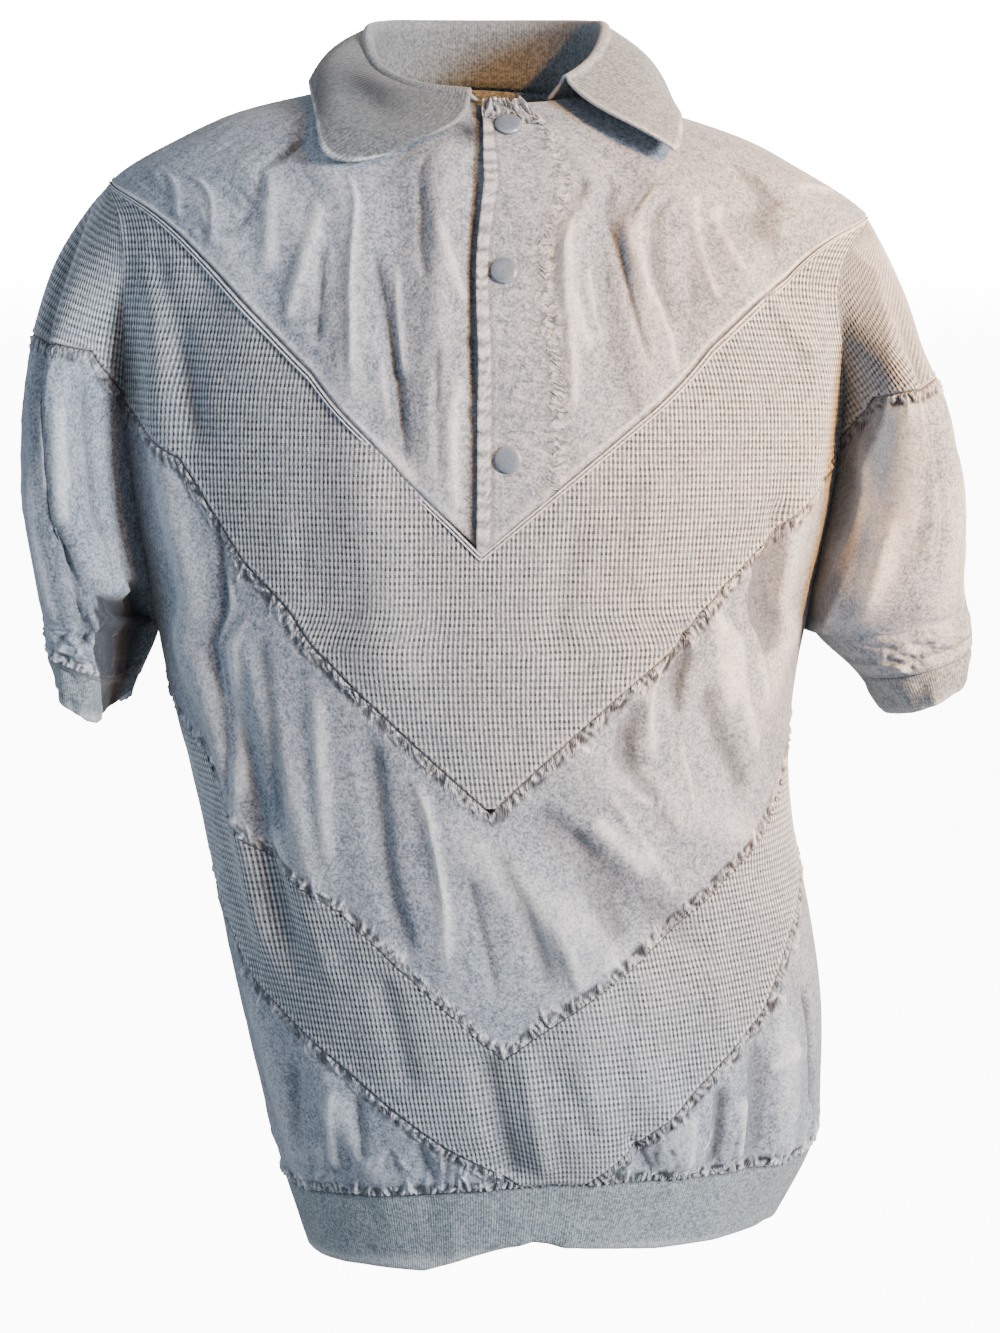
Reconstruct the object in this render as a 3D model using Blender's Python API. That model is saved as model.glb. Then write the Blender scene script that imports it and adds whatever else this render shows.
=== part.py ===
"""Short-sleeved knit polo shirt, worn and hollow: chevrons of woven cloth and waffle knit.

Blender 4.5, metres, +Z up, the front faces -Y.  The origin is the centre of the neck at the
height of the shoulder neck points.

Every panel is cut flat in a pattern plane and then draped.  The pattern runs "across" (mm from
the centre line; the body ends at SIDE, the sleeve lies from SIDE to SIDE + ARM) and "level" (mm
below the shoulder neck point).  drape() gives the place of a pattern point on the worn shirt,
from one horizontal section for each level.
"""
import bpy
import bmesh
import numpy as np
from math import cos, pi, radians, sin, sqrt
from mathutils import Matrix, Vector

MM = 0.001

# ---------------------------------------------------------------- driving sizes, millimetres
WALL = 1.5                # woven cloth and knit alike
GAP = 0.3                 # between two pieces at a seam
SIDE = 262.0              # centre line to side seam
ARM = 146.0               # underarm seam to the seam along the top of the sleeve
SHOULDER_POINT = -60.0    # level at which the sleeve starts
SHOULDER_TURN = -76.0     # rows lie closer down to this level
ARMPIT = -318.0           # level at which sleeve and body part
CUFF_TOP, CUFF_END = -346.0, -370.0
HEM_TOP, HEM_END = -645.0, -691.0
CELL = SIDE / 12          # width of a panel's columns
SHOULDER_COLUMN = 7.3     # width of the closer columns beside the shoulder points
ARM_CELL = ARM / 6
PUCKER_HEIGHT, PUCKER_REACH = 1.5, 17.0
GATHER_HEIGHT, GATHER_REACH = 2.4, 34.0
PUCKERS, GATHERS = 1.5, 1.0   # waves in the width of a column
CORD_DROP = 4.2           # level from the yoke seam to the cord's lower edge
BINDING_END = -12.0
LAP_EDGE = -3.0           # free edge of the right front
PARTING = (85, 185)       # depth below the neck where the sleeve parts softly from the body
HANGING = (230, 318)      # depth where the sleeve's section turns from a curve to a flat tube
CREASE_HALF = 19.0        # half width of the cloth that turns through the armhole crease
FOLD_END = 28.0           # length over which a fold dies out
LAP = CELL                # how far the left front runs on under the right one
FRONT, BACK = -1, 1

# Sections of the body: half widths left and right of x = 0, depths before and behind y = 0,
# how far a level climbs from left to right, and how much it is raised at the middle.
BODY = [
    ("level", "left", "right", "front", "back", "climb_left", "climb_right", "rise_front", "rise_back"),
    (   0,  72,  72,  62,  64, -0.045, -0.045, -14,  9),
    (  -8, 105, 105,  68,  70, -0.045, -0.045, -11,  7),
    ( -20, 146, 148,  76,  79, -0.045, -0.045,  -8,  4),
    ( -38, 184, 187,  86,  89, -0.045, -0.045,  -4,  2),
    ( -60, 219, 224,  95,  98, -0.045, -0.045,   0,  0),
    (-110, 222, 224, 112, 108, -0.040, -0.040,   0,  0),
    (-175, 221, 219, 124, 112, -0.020, -0.020,   0,  0),
    (-240, 213, 210, 128, 110,  0.000,  0.000,   0,  0),
    (-300, 202, 197, 128, 106,  0.000,  0.000,   0,  0),
    (-350, 193, 188, 127, 103,  0.010,  0.000,   0,  0),
    (-400, 181, 185, 125, 102,  0.020,  0.010,   0,  0),
    (-450, 170, 190, 124, 104,  0.030,  0.020,   0,  0),
    (-500, 161, 200, 124, 109,  0.045,  0.030,   3,  0),
    (-553, 150, 208, 125, 114,  0.060,  0.030,   6,  0),
    (-600, 139, 209, 125, 116,  0.080,  0.030,  10,  0),
    (-645, 128, 206, 113, 106,  0.100,  0.030,  14,  0),
    (-691, 114, 183, 104,  98,  0.100,  0.020,  16,  0),
]
# Pattern width from centre line to shoulder or side seam.
WIDTH = [
    ("level", "half"),
    (   0,  75), (  -8, 110), ( -20, 152), ( -38, 196), ( -60, 240), (-100, 262), (-400, 262),
    (-550, 256), (-691, 246),
]
# Sleeves: x of the seam along the top, how far the cloth stands out before and behind it, how
# deep the crease beside the body lies, the pattern width, and x of the underarm seam.
SLEEVE = [
    ("level", "left", "right", "depth", "crease", "width", "under_left", "under_right"),
    ( -60, 219, 224, 20,  60,   1, 202, 197),
    ( -80, 236, 236, 40,  55,  60, 202, 197),
    (-104, 252, 247, 58,  50, 100, 202, 197),
    (-141, 264, 257, 68,  42, 126, 202, 197),
    (-175, 268, 266, 72,  36, 138, 202, 197),
    (-230, 269, 276, 72,  30, 146, 202, 197),
    (-277, 268, 284, 70,  26, 148, 202, 197),
    (-296, 268, 288, 69,  22, 147, 202, 197),
    (-318, 267, 292, 68,   0, 143, 202, 200),
    (-346, 265, 294, 66,   0, 134, 214, 228),
    (-370, 262, 291, 58,   0, 124, 224, 244),
]
# The sleeve's levels lie lower at the underarm than at the top seam.
SLEEVE_DROP = [("level", "drop"), (-250, 0), (-300, 5), (-346, 22), (-370, 26)]

# Seams between the chevrons, from the left side to the right one, in pattern mm.
SEAMS = [
    ("seam", "across", "level"),
    ("yoke", -262, -62), ("yoke", -196, -109), ("yoke", -109, -167), ("yoke", 0, -263.5),
    ("yoke", 153, -147), ("yoke", 218, -106), ("yoke", 262, -62),
    ("middle", -408, -146), ("middle", -286, -158), ("middle", -262, -183), ("middle", -196, -214),
    ("middle", -153, -270), ("middle", -87, -325), ("middle", 0, -409), ("middle", 153, -288),
    ("middle", 262, -203), ("middle", 286, -174), ("middle", 408, -155),
    ("lower", -262, -345), ("lower", -196, -384), ("lower", -175, -428), ("lower", -109, -468),
    ("lower", -22, -558), ("lower", 196, -430), ("lower", 262, -378),
    ("underarm", -262, ARMPIT), ("underarm", -175, -352), ("underarm", 0, -470),
    ("underarm", 153, -372), ("underarm", 262, ARMPIT),
    ("hem", -262, -440), ("hem", -196, -515), ("hem", -131, -560), ("hem", -66, -614),
    ("hem", -22, -644), ("hem", 22, -644), ("hem", 109, -577), ("hem", 153, -546),
    ("hem", 196, -502), ("hem", 262, -450),
]
# Soft folds of the worn cloth: ridge (+) or trough (-) from one pattern point to another.
FOLDS = [
    ("face", "across", "level", "across_end", "level_end", "width", "height"),
    (FRONT, -205,  -70, -150, -150, 16,  3.0), (FRONT, -150,  -45, -110, -140, 15,  3.0),
    (FRONT, -100,  -30,  -78, -200, 13,  3.5), (FRONT,  -58,  -30,  -50, -225, 12, -3.0),
    (FRONT,  -30,  -40,  -26, -235,  9,  3.0), (FRONT,   62,  -30,   56, -190, 11,  3.0),
    (FRONT,   88,  -30,   84, -170, 10, -2.5), (FRONT,  112,  -40,  104, -180, 13,  3.0),
    (FRONT,  165,  -60,  140, -150, 15, -3.0), (FRONT,  205,  -70,  180, -120, 14,  3.0),
    (FRONT, -232, -110, -205, -235, 17,  6.0), (FRONT, -208, -235, -186, -345, 14,  7.0),
    (FRONT,  236, -120,  214, -260, 15,  5.0), (FRONT,  214, -260,  186, -370, 16,  5.0),
    (FRONT, -176, -330, -172, -500, 11,  6.0), (FRONT, -156, -340, -150, -500,  9, -4.0),
    (FRONT, -134, -320, -120, -470, 12,  4.0), (FRONT,  -30, -420,   88, -530, 17,  5.0),
    (FRONT,   20, -420,  130, -500, 15, -4.0), (FRONT,   60, -385,  182, -440, 15,  4.5),
    (FRONT,   70, -560,   88, -640, 13,  4.0), (FRONT,  150, -560,  146, -640, 10, -6.0),
    (FRONT,  172, -545,  176, -640, 14,  5.0), (FRONT, -150, -560, -120, -640, 14,  4.0),
    (FRONT, -205, -520, -190, -640, 14,  4.0), (FRONT,   35, -470,   30, -640, 24,  5.0),
    (FRONT, -352,  -90, -322, -300, 15, -7.0), (FRONT, -384, -190, -360, -340, 13,  4.0),
    (FRONT,  336, -120,  318, -300, 16, -4.0), (FRONT,  372, -170,  356, -330, 14,  4.0),
    (BACK,  -205,  -70, -180, -330, 20,  5.0), (BACK,  205,  -70,  180, -330, 20,  5.0),
    (BACK,  -120,  -40, -100, -300, 22, -4.0), (BACK,   60,  -60,   70, -320, 24,  4.0),
    (BACK,  -150, -350, -110, -600, 20,  5.0), (BACK,  -40, -330,  -20, -610, 24, -5.0),
    (BACK,    90, -340,  120, -610, 22,  6.0), (BACK,  190, -420,  180, -630, 18, -5.0),
    (BACK,  -345,  -90, -325, -300, 17, -5.0), (BACK,  345,  -90,  325, -300, 17, -5.0),
]
# The folded collar, by its turn round the neck from the front (left side first): the roll at
# its top, and its outer edge.
COLLAR = [
    ("turn", "roll_x", "roll_y", "roll_z", "edge_x", "edge_y", "edge_z"),
    (  -3,  -8, -68,  -7,  -60, -102, -52),
    ( -25, -35, -60,  -3,  -86,  -87, -38),
    ( -50, -59, -42,   9,  -97,  -60, -14),
    ( -75, -68, -18,  27, -101,  -22,   3),
    ( -90, -69,   2,  37, -102,    5,   7),
    (-120, -60,  36,  46,  -95,   52,   1),
    (-150, -35,  60,  50,  -55,   92, -13),
    (-180,   0,  67,  51,    0,  106, -18),
    (-210,  36,  60,  50,   57,   92, -14),
    (-240,  62,  36,  46,   99,   52,  -5),
    (-270,  70,   2,  39,  107,    5,  -3),
    (-285,  69, -18,  31,  110,  -20,  -8),
    (-305,  62, -38,  16,  111,  -46, -19),
    (-320,  52, -52,   6,  110,  -72, -33),
    (-330,  45, -61,   1,  108,  -93, -43),
]
# The lower edge of the hem band, which hangs in shallow waves.
EDGE = [
    ("across", "level"), (-262, -691), (-150, -694), (-95, -698), (-40, -688), (-10, -684),
    (30, -690), (90, -692), (140, -690), (200, -686), (262, -691),
]
# Snap caps, by the pattern point under their middle.
SNAPS = [("across", "level"), (18, -20), (17, -109), (16, -211)]
SNAP_WIDTH, SNAP_HEIGHT = 15.2, 3.2


def column(table, name, at):
    """A column of a table as a smooth curve over its first column."""
    names, rows = table[0], sorted(table[1:])
    place = np.array([row[0] for row in rows], float)
    value = np.array([row[names.index(name)] for row in rows], float)
    slope = np.gradient(value, place)
    at = np.clip(at, place[0], place[-1])
    i = np.clip(np.searchsorted(place, at) - 1, 0, len(place) - 2)
    span = place[i + 1] - place[i]
    t = (at - place[i]) / span
    start = (2 * t**3 - 3 * t**2 + 1) * value[i] + (t**3 - 2 * t**2 + t) * span * slope[i]
    end = (3 * t**2 - 2 * t**3) * value[i + 1] + (t**3 - t**2) * span * slope[i + 1]
    return start + end


def ramp(value, low, high):
    """0 below low, 1 above high, smooth between."""
    t = np.clip((np.asarray(value, float) - low) / (high - low), 0.0, 1.0)
    return t * t * (3.0 - 2.0 * t)


def by_side(table, name, across, level):
    return np.where(across < 0, column(table, name + "_left", level), column(table, name + "_right", level))


def even_angle(share, a, b, last):
    """Angle on an ellipse at this share of its arc from the middle to the angle last."""
    e = (a - b) / (a + b)
    arc = share * (last + 0.5 * e * np.sin(2 * last))
    angle = arc - 0.5 * e * np.sin(2 * arc)
    for _ in range(3):
        angle = angle - (angle + 0.5 * e * np.sin(2 * angle) - arc) / (1 + e * np.cos(2 * angle))
    return angle


def form(across, level, face):
    """Pattern points to the worn shirt without folds, mm."""
    right = across >= 0
    sign = np.where(right, 1.0, -1.0)
    reach = np.abs(across)
    share = np.where(reach <= SIDE, reach / SIDE, 1.0)
    arm_share = np.maximum(reach - SIDE, 0.0) / ARM
    on_arm = reach > SIDE

    left_half, right_half = column(BODY, "left", level), column(BODY, "right", level)
    a, centre = 0.5 * (right_half + left_half), 0.5 * (right_half - left_half)
    b = np.where(face < 0, column(BODY, "front", level), column(BODY, "back", level))
    half = column(WIDTH, "half", level)
    low = np.minimum(level, SHOULDER_POINT)
    width = column(SLEEVE, "width", low)
    top = np.where(right, column(SLEEVE, "right", low), column(SLEEVE, "left", low))
    under = by_side(SLEEVE, "under", across, low)
    depth, crease = column(SLEEVE, "depth", low), column(SLEEVE, "crease", low)
    apart = level < ARMPIT
    crease = np.where(apart, 0.0, np.maximum(crease, 0.0))

    # one round section: yoke and shoulder
    has_arm = level < SHOULDER_POINT
    run = share * half + arm_share * width
    full = np.where(has_arm, half + width, half)
    wide = np.where(has_arm, 0.5 * (column(SLEEVE, "right", low) + column(SLEEVE, "left", low)), a)
    middle = np.where(has_arm, 0.5 * (column(SLEEVE, "right", low) - column(SLEEVE, "left", low)), centre)
    turn = even_angle(run / full, wide, b, pi / 2)
    x_round, y_round = middle + sign * wide * np.sin(turn), b * np.cos(turn)

    # body and hanging sleeve with a crease between them
    last = np.where(apart, pi / 2, np.arccos(np.clip(crease / b, 0, 0.95)))
    turn = even_angle(share, a, b, last)
    x_body, y_body = centre + sign * a * np.sin(turn), b * np.cos(turn)
    x_crease = centre + sign * a * np.sin(last)
    hanging = ramp(-level, *HANGING)
    bow = (1 - hanging) * np.sin(arm_share * pi / 2) + hanging * 0.5 * (1 - np.cos(pi * arm_share))
    x_in = np.where(apart, sign * under, x_crease)
    x_arm = x_in + (sign * top - x_in) * bow
    y_arm = crease * (1 - arm_share) + depth * np.sin(pi * arm_share)
    soft = ramp(reach, SIDE - CREASE_HALF, SIDE + CREASE_HALF)
    mix = np.where(apart, on_arm * 1.0, soft)
    # beside the crease each side runs on smoothly past the other
    x_lobes, y_lobes = (1 - mix) * x_body + mix * x_arm, (1 - mix) * y_body + mix * y_arm

    lobes = ramp(-level, *PARTING)
    x = (1 - lobes) * x_round + lobes * x_lobes
    y = (1 - lobes) * y_round + lobes * y_lobes
    climb = by_side(BODY, "climb", across, level)
    toward = np.clip(y / b, 0, 1) ** 2
    rise = np.where(face < 0, column(BODY, "rise_front", level), column(BODY, "rise_back", level))
    drop = column(SLEEVE_DROP, "drop", level) * np.where(on_arm, bow, 0.0) * ramp(-level, *HANGING)
    z = level + climb * (x - centre * ramp(-level, 60, 400)) + rise * toward + drop
    return np.stack([x, np.where(face < 0, -y, y), z], -1)


def seam_level(name, across):
    """Level of a chevron seam; a bare number is a straight cut at that level."""
    if not isinstance(name, str):
        return np.full(np.shape(across), float(name))
    if name == "edge":
        return np.interp(across, [row[0] for row in EDGE[1:]], [row[1] for row in EDGE[1:]])
    rows = [row for row in SEAMS[1:] if row[0] == name]
    return np.interp(across, [row[1] for row in rows], [row[2] for row in rows])


def folds(across, level, face):
    """Height of the soft folds at pattern points, mm."""
    height = np.zeros(np.shape(across))
    for side, x0, y0, x1, y1, width, high in FOLDS[1:]:
        dx, dy = x1 - x0, y1 - y0
        long = sqrt(dx * dx + dy * dy)
        t = ((across - x0) * dx + (level - y0) * dy) / long
        away = ((across - x0) * dy - (level - y0) * dx) / long
        away = away + 0.12 * width * np.sin(t / 31.0)
        ends = ramp(t, -FOLD_END, FOLD_END) * (1 - ramp(t, long - FOLD_END, long + FOLD_END))
        height = height + np.where(face == side, high * ends * np.exp(-(away / width) ** 2), 0.0)
    from_shoulder = np.hypot(np.abs(across) - SIDE, level - SHOULDER_POINT)
    return height * ramp(from_shoulder, 25, 80)


def slopes(function, across, level, face):
    """Cross product of a surface's two directions, outward, on the same side of the armhole."""
    step = 0.6
    away = np.where(np.abs(across) > SIDE, 1.0, -1.0) * np.where(across < 0, -1.0, 1.0) * step
    here = function(across, level, face)
    along = (function(across + away, level, face) - here) / away[..., None]
    up = function(across, level + step, face) - function(across, level - step, face)
    out = np.cross(along, up) * -np.asarray(face, float)[..., None]
    return here, out / np.maximum(np.linalg.norm(out, axis=-1, keepdims=True), 1e-9)


def folded(across, level, face):
    place, out = slopes(form, across, level, face)
    return place + out * folds(across, level, face)[..., None]


def cut_line(top, bottom, start, steps):
    """Lines that leave a seam squarely: start is "top" or "bottom", steps are distances in mm."""
    name = top if start == "top" else bottom
    down = -1.0 if start == "top" else 1.0

    def points(across, away):
        level = seam_level(name, across)
        slope = (seam_level(name, across + 6.0) - seam_level(name, across - 6.0)) / 12.0
        long = np.sqrt(1 + slope ** 2)
        room = np.minimum(1.0, (seam_level(top, across) - seam_level(bottom, across)) / 52.0)
        free = ramp(np.abs(np.abs(across) - SIDE), 0, 25) * ramp(SIDE + ARM - np.abs(across), 0, 25)
        wider = 1.0 + 1.2 * ramp(np.abs(across), 150, 190)      # the armhole crease turns sharply
        away = away * np.maximum(room, 0.0) + GAP / 2 * wider * (away == 0)
        shift = -down * away * slope / long * free * (away > 1)
        return np.stack([across + shift, level + down * away * np.where(away > 1, 1 / long, long)], -1)

    return [lambda across, away=away: points(across, away) for away in steps]


def cord_edge(across):
    """Lower edge of the cord that lies along the yoke seam."""
    return plain("yoke", -CORD_DROP)(across)


def plain(name, inset=0.0):
    return lambda across: np.stack([across, seam_level(name, across) + inset], -1)


def spread(start, end, cell, breaks=()):
    """Even columns from start to end, with one on each break."""
    stops = sorted({start, end, *[b for b in breaks if start < b < end]})
    columns = [start]
    for a, b in zip(stops, stops[1:]):
        count = max(1, round((b - a) / cell))
        columns += [a + (b - a) * (i + 1) / count for i in range(count)]
    return columns


def body_columns():
    """Columns of a front, closer beside the shoulder points, where the yoke seam turns over them."""
    extra = [side * (SIDE - inset) for side in (-1, 1) for inset in (SHOULDER_COLUMN, 2 * SHOULDER_COLUMN)]
    return sorted(spread(-SIDE, SIDE, CELL) + extra)


class Cloth:
    """A flat panel in the pattern plane, cut from grids and then draped to a wall."""

    def __init__(self, name, thickness=WALL, lift=None):
        self.name, self.thickness, self.lift = name, thickness, lift
        self.bm = bmesh.new()
        floats = self.bm.verts.layers.float
        self.share, self.gather = floats.new("share"), floats.new("gather")
        self.rate, self.face = floats.new("rate"), floats.new("face")

    def block(self, columns, lines, face=FRONT, cell=CELL):
        """Add a grid between lines, top to bottom.

        A line is (its points as a function of across, rows down from the line above, height of
        its waves, waves in the width of a cell)."""
        bm = self.bm
        rows = list(np.cumsum([count for _, count, _, _ in lines]))
        nx, ny = len(columns) - 1, rows[-1]
        made = bmesh.ops.create_grid(bm, x_segments=nx, y_segments=ny, size=0.5)["verts"]
        points = [points_of(np.array(columns)) for points_of, _, _, _ in lines]
        ruled = {}
        for vert in made:
            i, j = round((vert.co.x + 0.5) * nx), round((0.5 - vert.co.y) * ny)
            k = max(n for n in range(len(rows)) if rows[n] <= j)
            gather = rate = 0.0
            if rows[k] == j:
                place, gather, rate = points[k][i], lines[k][2], lines[k][3]
                if rate:
                    ruled[vert] = (k, rate)
            else:
                t = (j - rows[k]) / (rows[k + 1] - rows[k])
                place = points[k][i] * (1 - t) + points[k + 1][i] * t
            vert.co = (place[0], place[1], 10.0 * face)
            vert[self.share], vert[self.gather] = (columns[i] - columns[0]) / cell, gather
            vert[self.rate], vert[self.face] = rate, float(face)
        if face == BACK:
            bmesh.ops.reverse_faces(bm, faces=list({f for v in made for f in v.link_faces}))
        for rate in sorted({rate for _, rate in ruled.values()}):
            edges = [e for e in bm.edges if all(ruled.get(v, (0, 0))[1] == rate for v in e.verts)
                     and ruled[e.verts[0]][0] == ruled[e.verts[1]][0]
                     and abs(e.verts[0].co.x - e.verts[1].co.x) > 0.6 * cell]
            cuts = 2 if rate > 1 else 3
            bmesh.ops.subdivide_edges(bm, edges=edges, cuts=cuts)

    def part_lobes(self):
        """Leave the seam gap at the outer ends and where the sleeve parts from the body."""
        for vert in self.bm.verts:
            reach, side = abs(vert.co.x), 1.0 if vert.co.x > 0 else -1.0
            if reach > SIDE - GAP and abs(vert.co.y - SHOULDER_POINT) < 2 * GAP:
                reach, vert.co.y = SIDE, SHOULDER_POINT       # the sleeve starts in one point
            if reach > SIDE + ARM - GAP:
                vert.co.x = side * (SIDE + ARM - GAP / 2)
            elif abs(reach - SIDE) < GAP:
                below = vert.co.y < ARMPIT - 0.5 or vert.co.y > SHOULDER_POINT - 4
                on_arm = any(abs(f.calc_center_median().x) > SIDE for f in vert.link_faces)
                if not below and abs(vert.co.y - ARMPIT) < 0.5:
                    vert.co.y = ARMPIT + GAP
                if below:
                    vert.co.x = side * (SIDE + (GAP / 2 if on_arm and vert.co.y < ARMPIT else -GAP / 2))

    def drape(self, merge=1.2):
        """Triangulate the pattern and drape it; the wall's middle lies in the mesh."""
        bm = self.bm
        self.part_lobes()
        bmesh.ops.remove_doubles(bm, verts=bm.verts[:], dist=0.05)
        bmesh.ops.triangulate(bm, faces=bm.faces[:], quad_method="BEAUTY", ngon_method="BEAUTY")
        verts = bm.verts[:]
        across = np.array([v.co.x for v in verts])
        level = np.array([v.co.y for v in verts])
        face = np.array([v[self.face] for v in verts])
        share = np.array([v[self.share] for v in verts])
        wave = np.array([v[self.gather] for v in verts]) * (1 + 0.3 * np.sin(2.3 * share + 1.0))
        wave = wave * np.cos(2 * pi * np.array([v[self.rate] for v in verts]) * share)
        place, out = slopes(folded, across, level, face)
        crotch = (np.abs(np.abs(across) - SIDE) < 0.01) & (np.abs(level - ARMPIT) < 2 * GAP)
        out[crotch] = (0.0, 0.0, -1.0)
        if self.lift:
            wave = wave + self.lift(across, level)
        place = place + out * wave[:, None]
        vectors = bm.verts.layers.float_vector
        self.middle, self.out = vectors.new("middle"), vectors.new("out")
        verts = bm.verts[:]
        for vert, at, normal in zip(verts, place * MM, out):
            vert.co, vert[self.middle], vert[self.out] = at, at, normal
        bmesh.ops.remove_doubles(bm, verts=bm.verts[:], dist=merge * MM)
        bmesh.ops.dissolve_degenerate(bm, edges=bm.edges[:], dist=0.2 * MM)
        return self

    def wall(self):
        """Give the draped sheet its two sides and its rim."""
        bm = self.bm
        first = set(bm.verts)
        bmesh.ops.solidify(bm, geom=bm.faces[:], thickness=0.2 * MM)
        added = [v for v in bm.verts if v not in first]
        outward = sum((v.co - v[self.middle]).dot(v[self.out]) for v in added) > 0
        for vert in bm.verts:
            side = 1.0 if (vert in first) != outward else -1.0
            vert.co = vert[self.middle] + vert[self.out] * (side * 0.5 * self.thickness * MM)
        if bm.calc_volume(signed=True) < 0:
            bmesh.ops.reverse_faces(bm, faces=bm.faces[:])
        return self

    def finish(self, material):
        mesh = bpy.data.meshes.new(self.name)
        self.bm.to_mesh(mesh)
        self.bm.free()
        mesh.shade_smooth()
        mesh.set_sharp_from_angle(angle=radians(50))
        mesh.materials.append(material)
        piece = bpy.data.objects.new(self.name, mesh)
        bpy.context.scene.collection.objects.link(piece)
        return piece


def material(name, colour, roughness):
    made = bpy.data.materials.new(name)
    made.use_nodes = True
    shader = made.node_tree.nodes["Principled BSDF"]
    shader.inputs["Base Color"].default_value = (*colour, 1.0)
    shader.inputs["Roughness"].default_value = roughness
    made.diffuse_color = (*colour, 1.0)
    return made


def seam_rows(top, bottom, down, last, puckers=False, gathers=None):
    """Rows of a panel from its top seam to its bottom one.

    down lists levels on the way with the rows down to each, and last is the rows from there to
    the bottom seam or its gathers.  The points along a seam match on both its sides, so the flat
    side is divided as the puckered one is."""
    near_seam, seam_share = 6, 0.3            # where a pucker is highest, and what is left at the seam
    lines = []
    if puckers:
        seam, near, far = cut_line(top, bottom, "top", (0, near_seam, PUCKER_REACH))
        lines += [(seam, 0, seam_share * PUCKER_HEIGHT, PUCKERS), (near, 1, PUCKER_HEIGHT, PUCKERS),
                  (far, 1, 0, 0)]
    else:
        lines += [(cut_line(top, bottom, "top", (0,))[0], 0, 0, PUCKERS if top == "lower" else 0)]
        if top == "yoke":
            lines += [(cord_edge, 1, 0, 0)]
    lines += [(plain(level), rows, 0, 0) for level, rows in down]
    if gathers == "seam":
        far, near, seam = cut_line(top, bottom, "bottom", (PUCKER_REACH, near_seam, 0))
        lines += [(far, last, 0, 0), (near, 1, PUCKER_HEIGHT, PUCKERS),
                  (seam, 1, seam_share * PUCKER_HEIGHT, PUCKERS)]
    elif gathers == "hem":
        far, near, seam = cut_line(top, bottom, "bottom", (GATHER_REACH, 10, 0))
        lines += [(far, last, 0, 0), (near, 1, GATHER_HEIGHT, GATHERS),
                  (seam, 1, 0.4 * GATHER_HEIGHT, GATHERS)]
    elif gathers == "cuff":
        near, seam = cut_line(top, bottom, "bottom", (9, 0))
        lines += [(near, last, GATHER_HEIGHT, GATHERS), (seam, 1, 0.4 * GATHER_HEIGHT, GATHERS)]
    else:
        waves = PUCKERS if bottom in ("middle", "hem") else 0
        lines.append((cut_line(top, bottom, "bottom", (0,))[0], last, 0, waves))
    return lines


def under_lap(across, level):
    """The left front sinks under the right one beside the opening."""
    return -2.6 * ramp(across, -26, -8)


def on_top(height):
    return lambda across, level: np.full(np.shape(across), height)


def fronts(cloth, knit):
    """Yokes, chevrons and the woven cloth above the hem."""
    body = body_columns()
    arms = [spread(start, start + ARM, ARM_CELL) for start in (-SIDE - ARM, SIDE)]
    rows = [(plain(-GAP / 2), 0, 0, 0), (plain(BINDING_END), 1, 0, 0),
            (plain(SHOULDER_POINT), 3, 0, 0), (cut_line(0.0, "yoke", "bottom", (0,))[0], 7, 0, 0)]
    left = Cloth("front_yoke_left", lift=under_lap)
    left.block([x for x in body if x < LAP + 1], rows)
    left.drape().wall().finish(cloth)
    right = Cloth("front_yoke_right")
    right.block([LAP_EDGE] + [x for x in body if x > -1], rows)
    right.drape().wall().finish(cloth)

    upper = Cloth("front_waffle_upper")
    rows = seam_rows("yoke", "middle", [], 6)
    upper.block(body, rows)
    for columns in arms:
        upper.block(columns, rows, cell=ARM_CELL)
    upper.drape().wall().finish(knit)

    middle = Cloth("front_woven_middle")
    middle.block(body, seam_rows("middle", "lower", [("underarm", 4)], 2, True, "seam"))
    for columns in arms:
        middle.block(columns, seam_rows("middle", CUFF_TOP, [(ARMPIT, 4)], 1, True, "cuff"), cell=ARM_CELL)
    middle.drape().wall().finish(cloth)

    lower = Cloth("front_waffle_lower")
    lower.block(body, seam_rows("lower", "hem", [], 5))
    lower.drape().wall().finish(knit)

    for name, columns in (("left", [x for x in body if x < -1]), ("right", [x for x in body if x > 1])):
        piece = Cloth("front_woven_hem_" + name)
        piece.block(columns, seam_rows("hem", HEM_TOP, [], 5, True, "hem"))
        piece.drape().wall().finish(cloth)


def back(cloth):
    piece = Cloth("back")
    cell = SIDE / 10
    columns = sorted(spread(-SIDE, SIDE, cell) + [-SIDE + SHOULDER_COLUMN, SIDE - SHOULDER_COLUMN])
    down = [(BINDING_END, 1), (SHOULDER_POINT, 3), (SHOULDER_TURN, 2), (ARMPIT, 9)]
    rows = seam_rows(0.0, HEM_TOP, down, 10, False, "hem")
    piece.block(columns, rows, BACK, cell)
    rows = seam_rows(SHOULDER_POINT, CUFF_TOP, [(SHOULDER_TURN, 2), (ARMPIT, 9)], 1, False, "cuff")
    for start in (-SIDE - ARM, SIDE):
        piece.block(spread(start, start + ARM, ARM_CELL), rows, BACK, ARM_CELL)
    piece.drape().wall().finish(cloth)


def bands(rib):
    """The hem band and the two cuffs, each a tube."""
    band = Cloth("hem_band", thickness=1.8, lift=on_top(-0.6))
    rows = [(plain(HEM_TOP, -GAP / 2), 0, 0, 0), (plain("edge"), 2, 0, 0)]
    band.block(spread(-SIDE, SIDE, 18.0), rows, FRONT)
    rows = [(plain(HEM_TOP, -GAP / 2), 0, 0, 0), (plain(HEM_END), 2, 0, 0)]
    band.block(spread(-SIDE, SIDE, 22.0), rows, BACK)
    band.drape(1.5).wall().finish(rib)
    for name, start in (("cuff_left", -SIDE - ARM), ("cuff_right", SIDE)):
        cuff = Cloth(name, thickness=1.8, lift=on_top(-0.6))
        rows = [(plain(CUFF_TOP, -GAP / 2), 0, 0, 0), (plain(CUFF_END), 2, 0, 0)]
        for face in (FRONT, BACK):
            cuff.block(spread(start, start + ARM, ARM / 12), rows, face)
        cuff.drape(1.5).wall().finish(rib)


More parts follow.
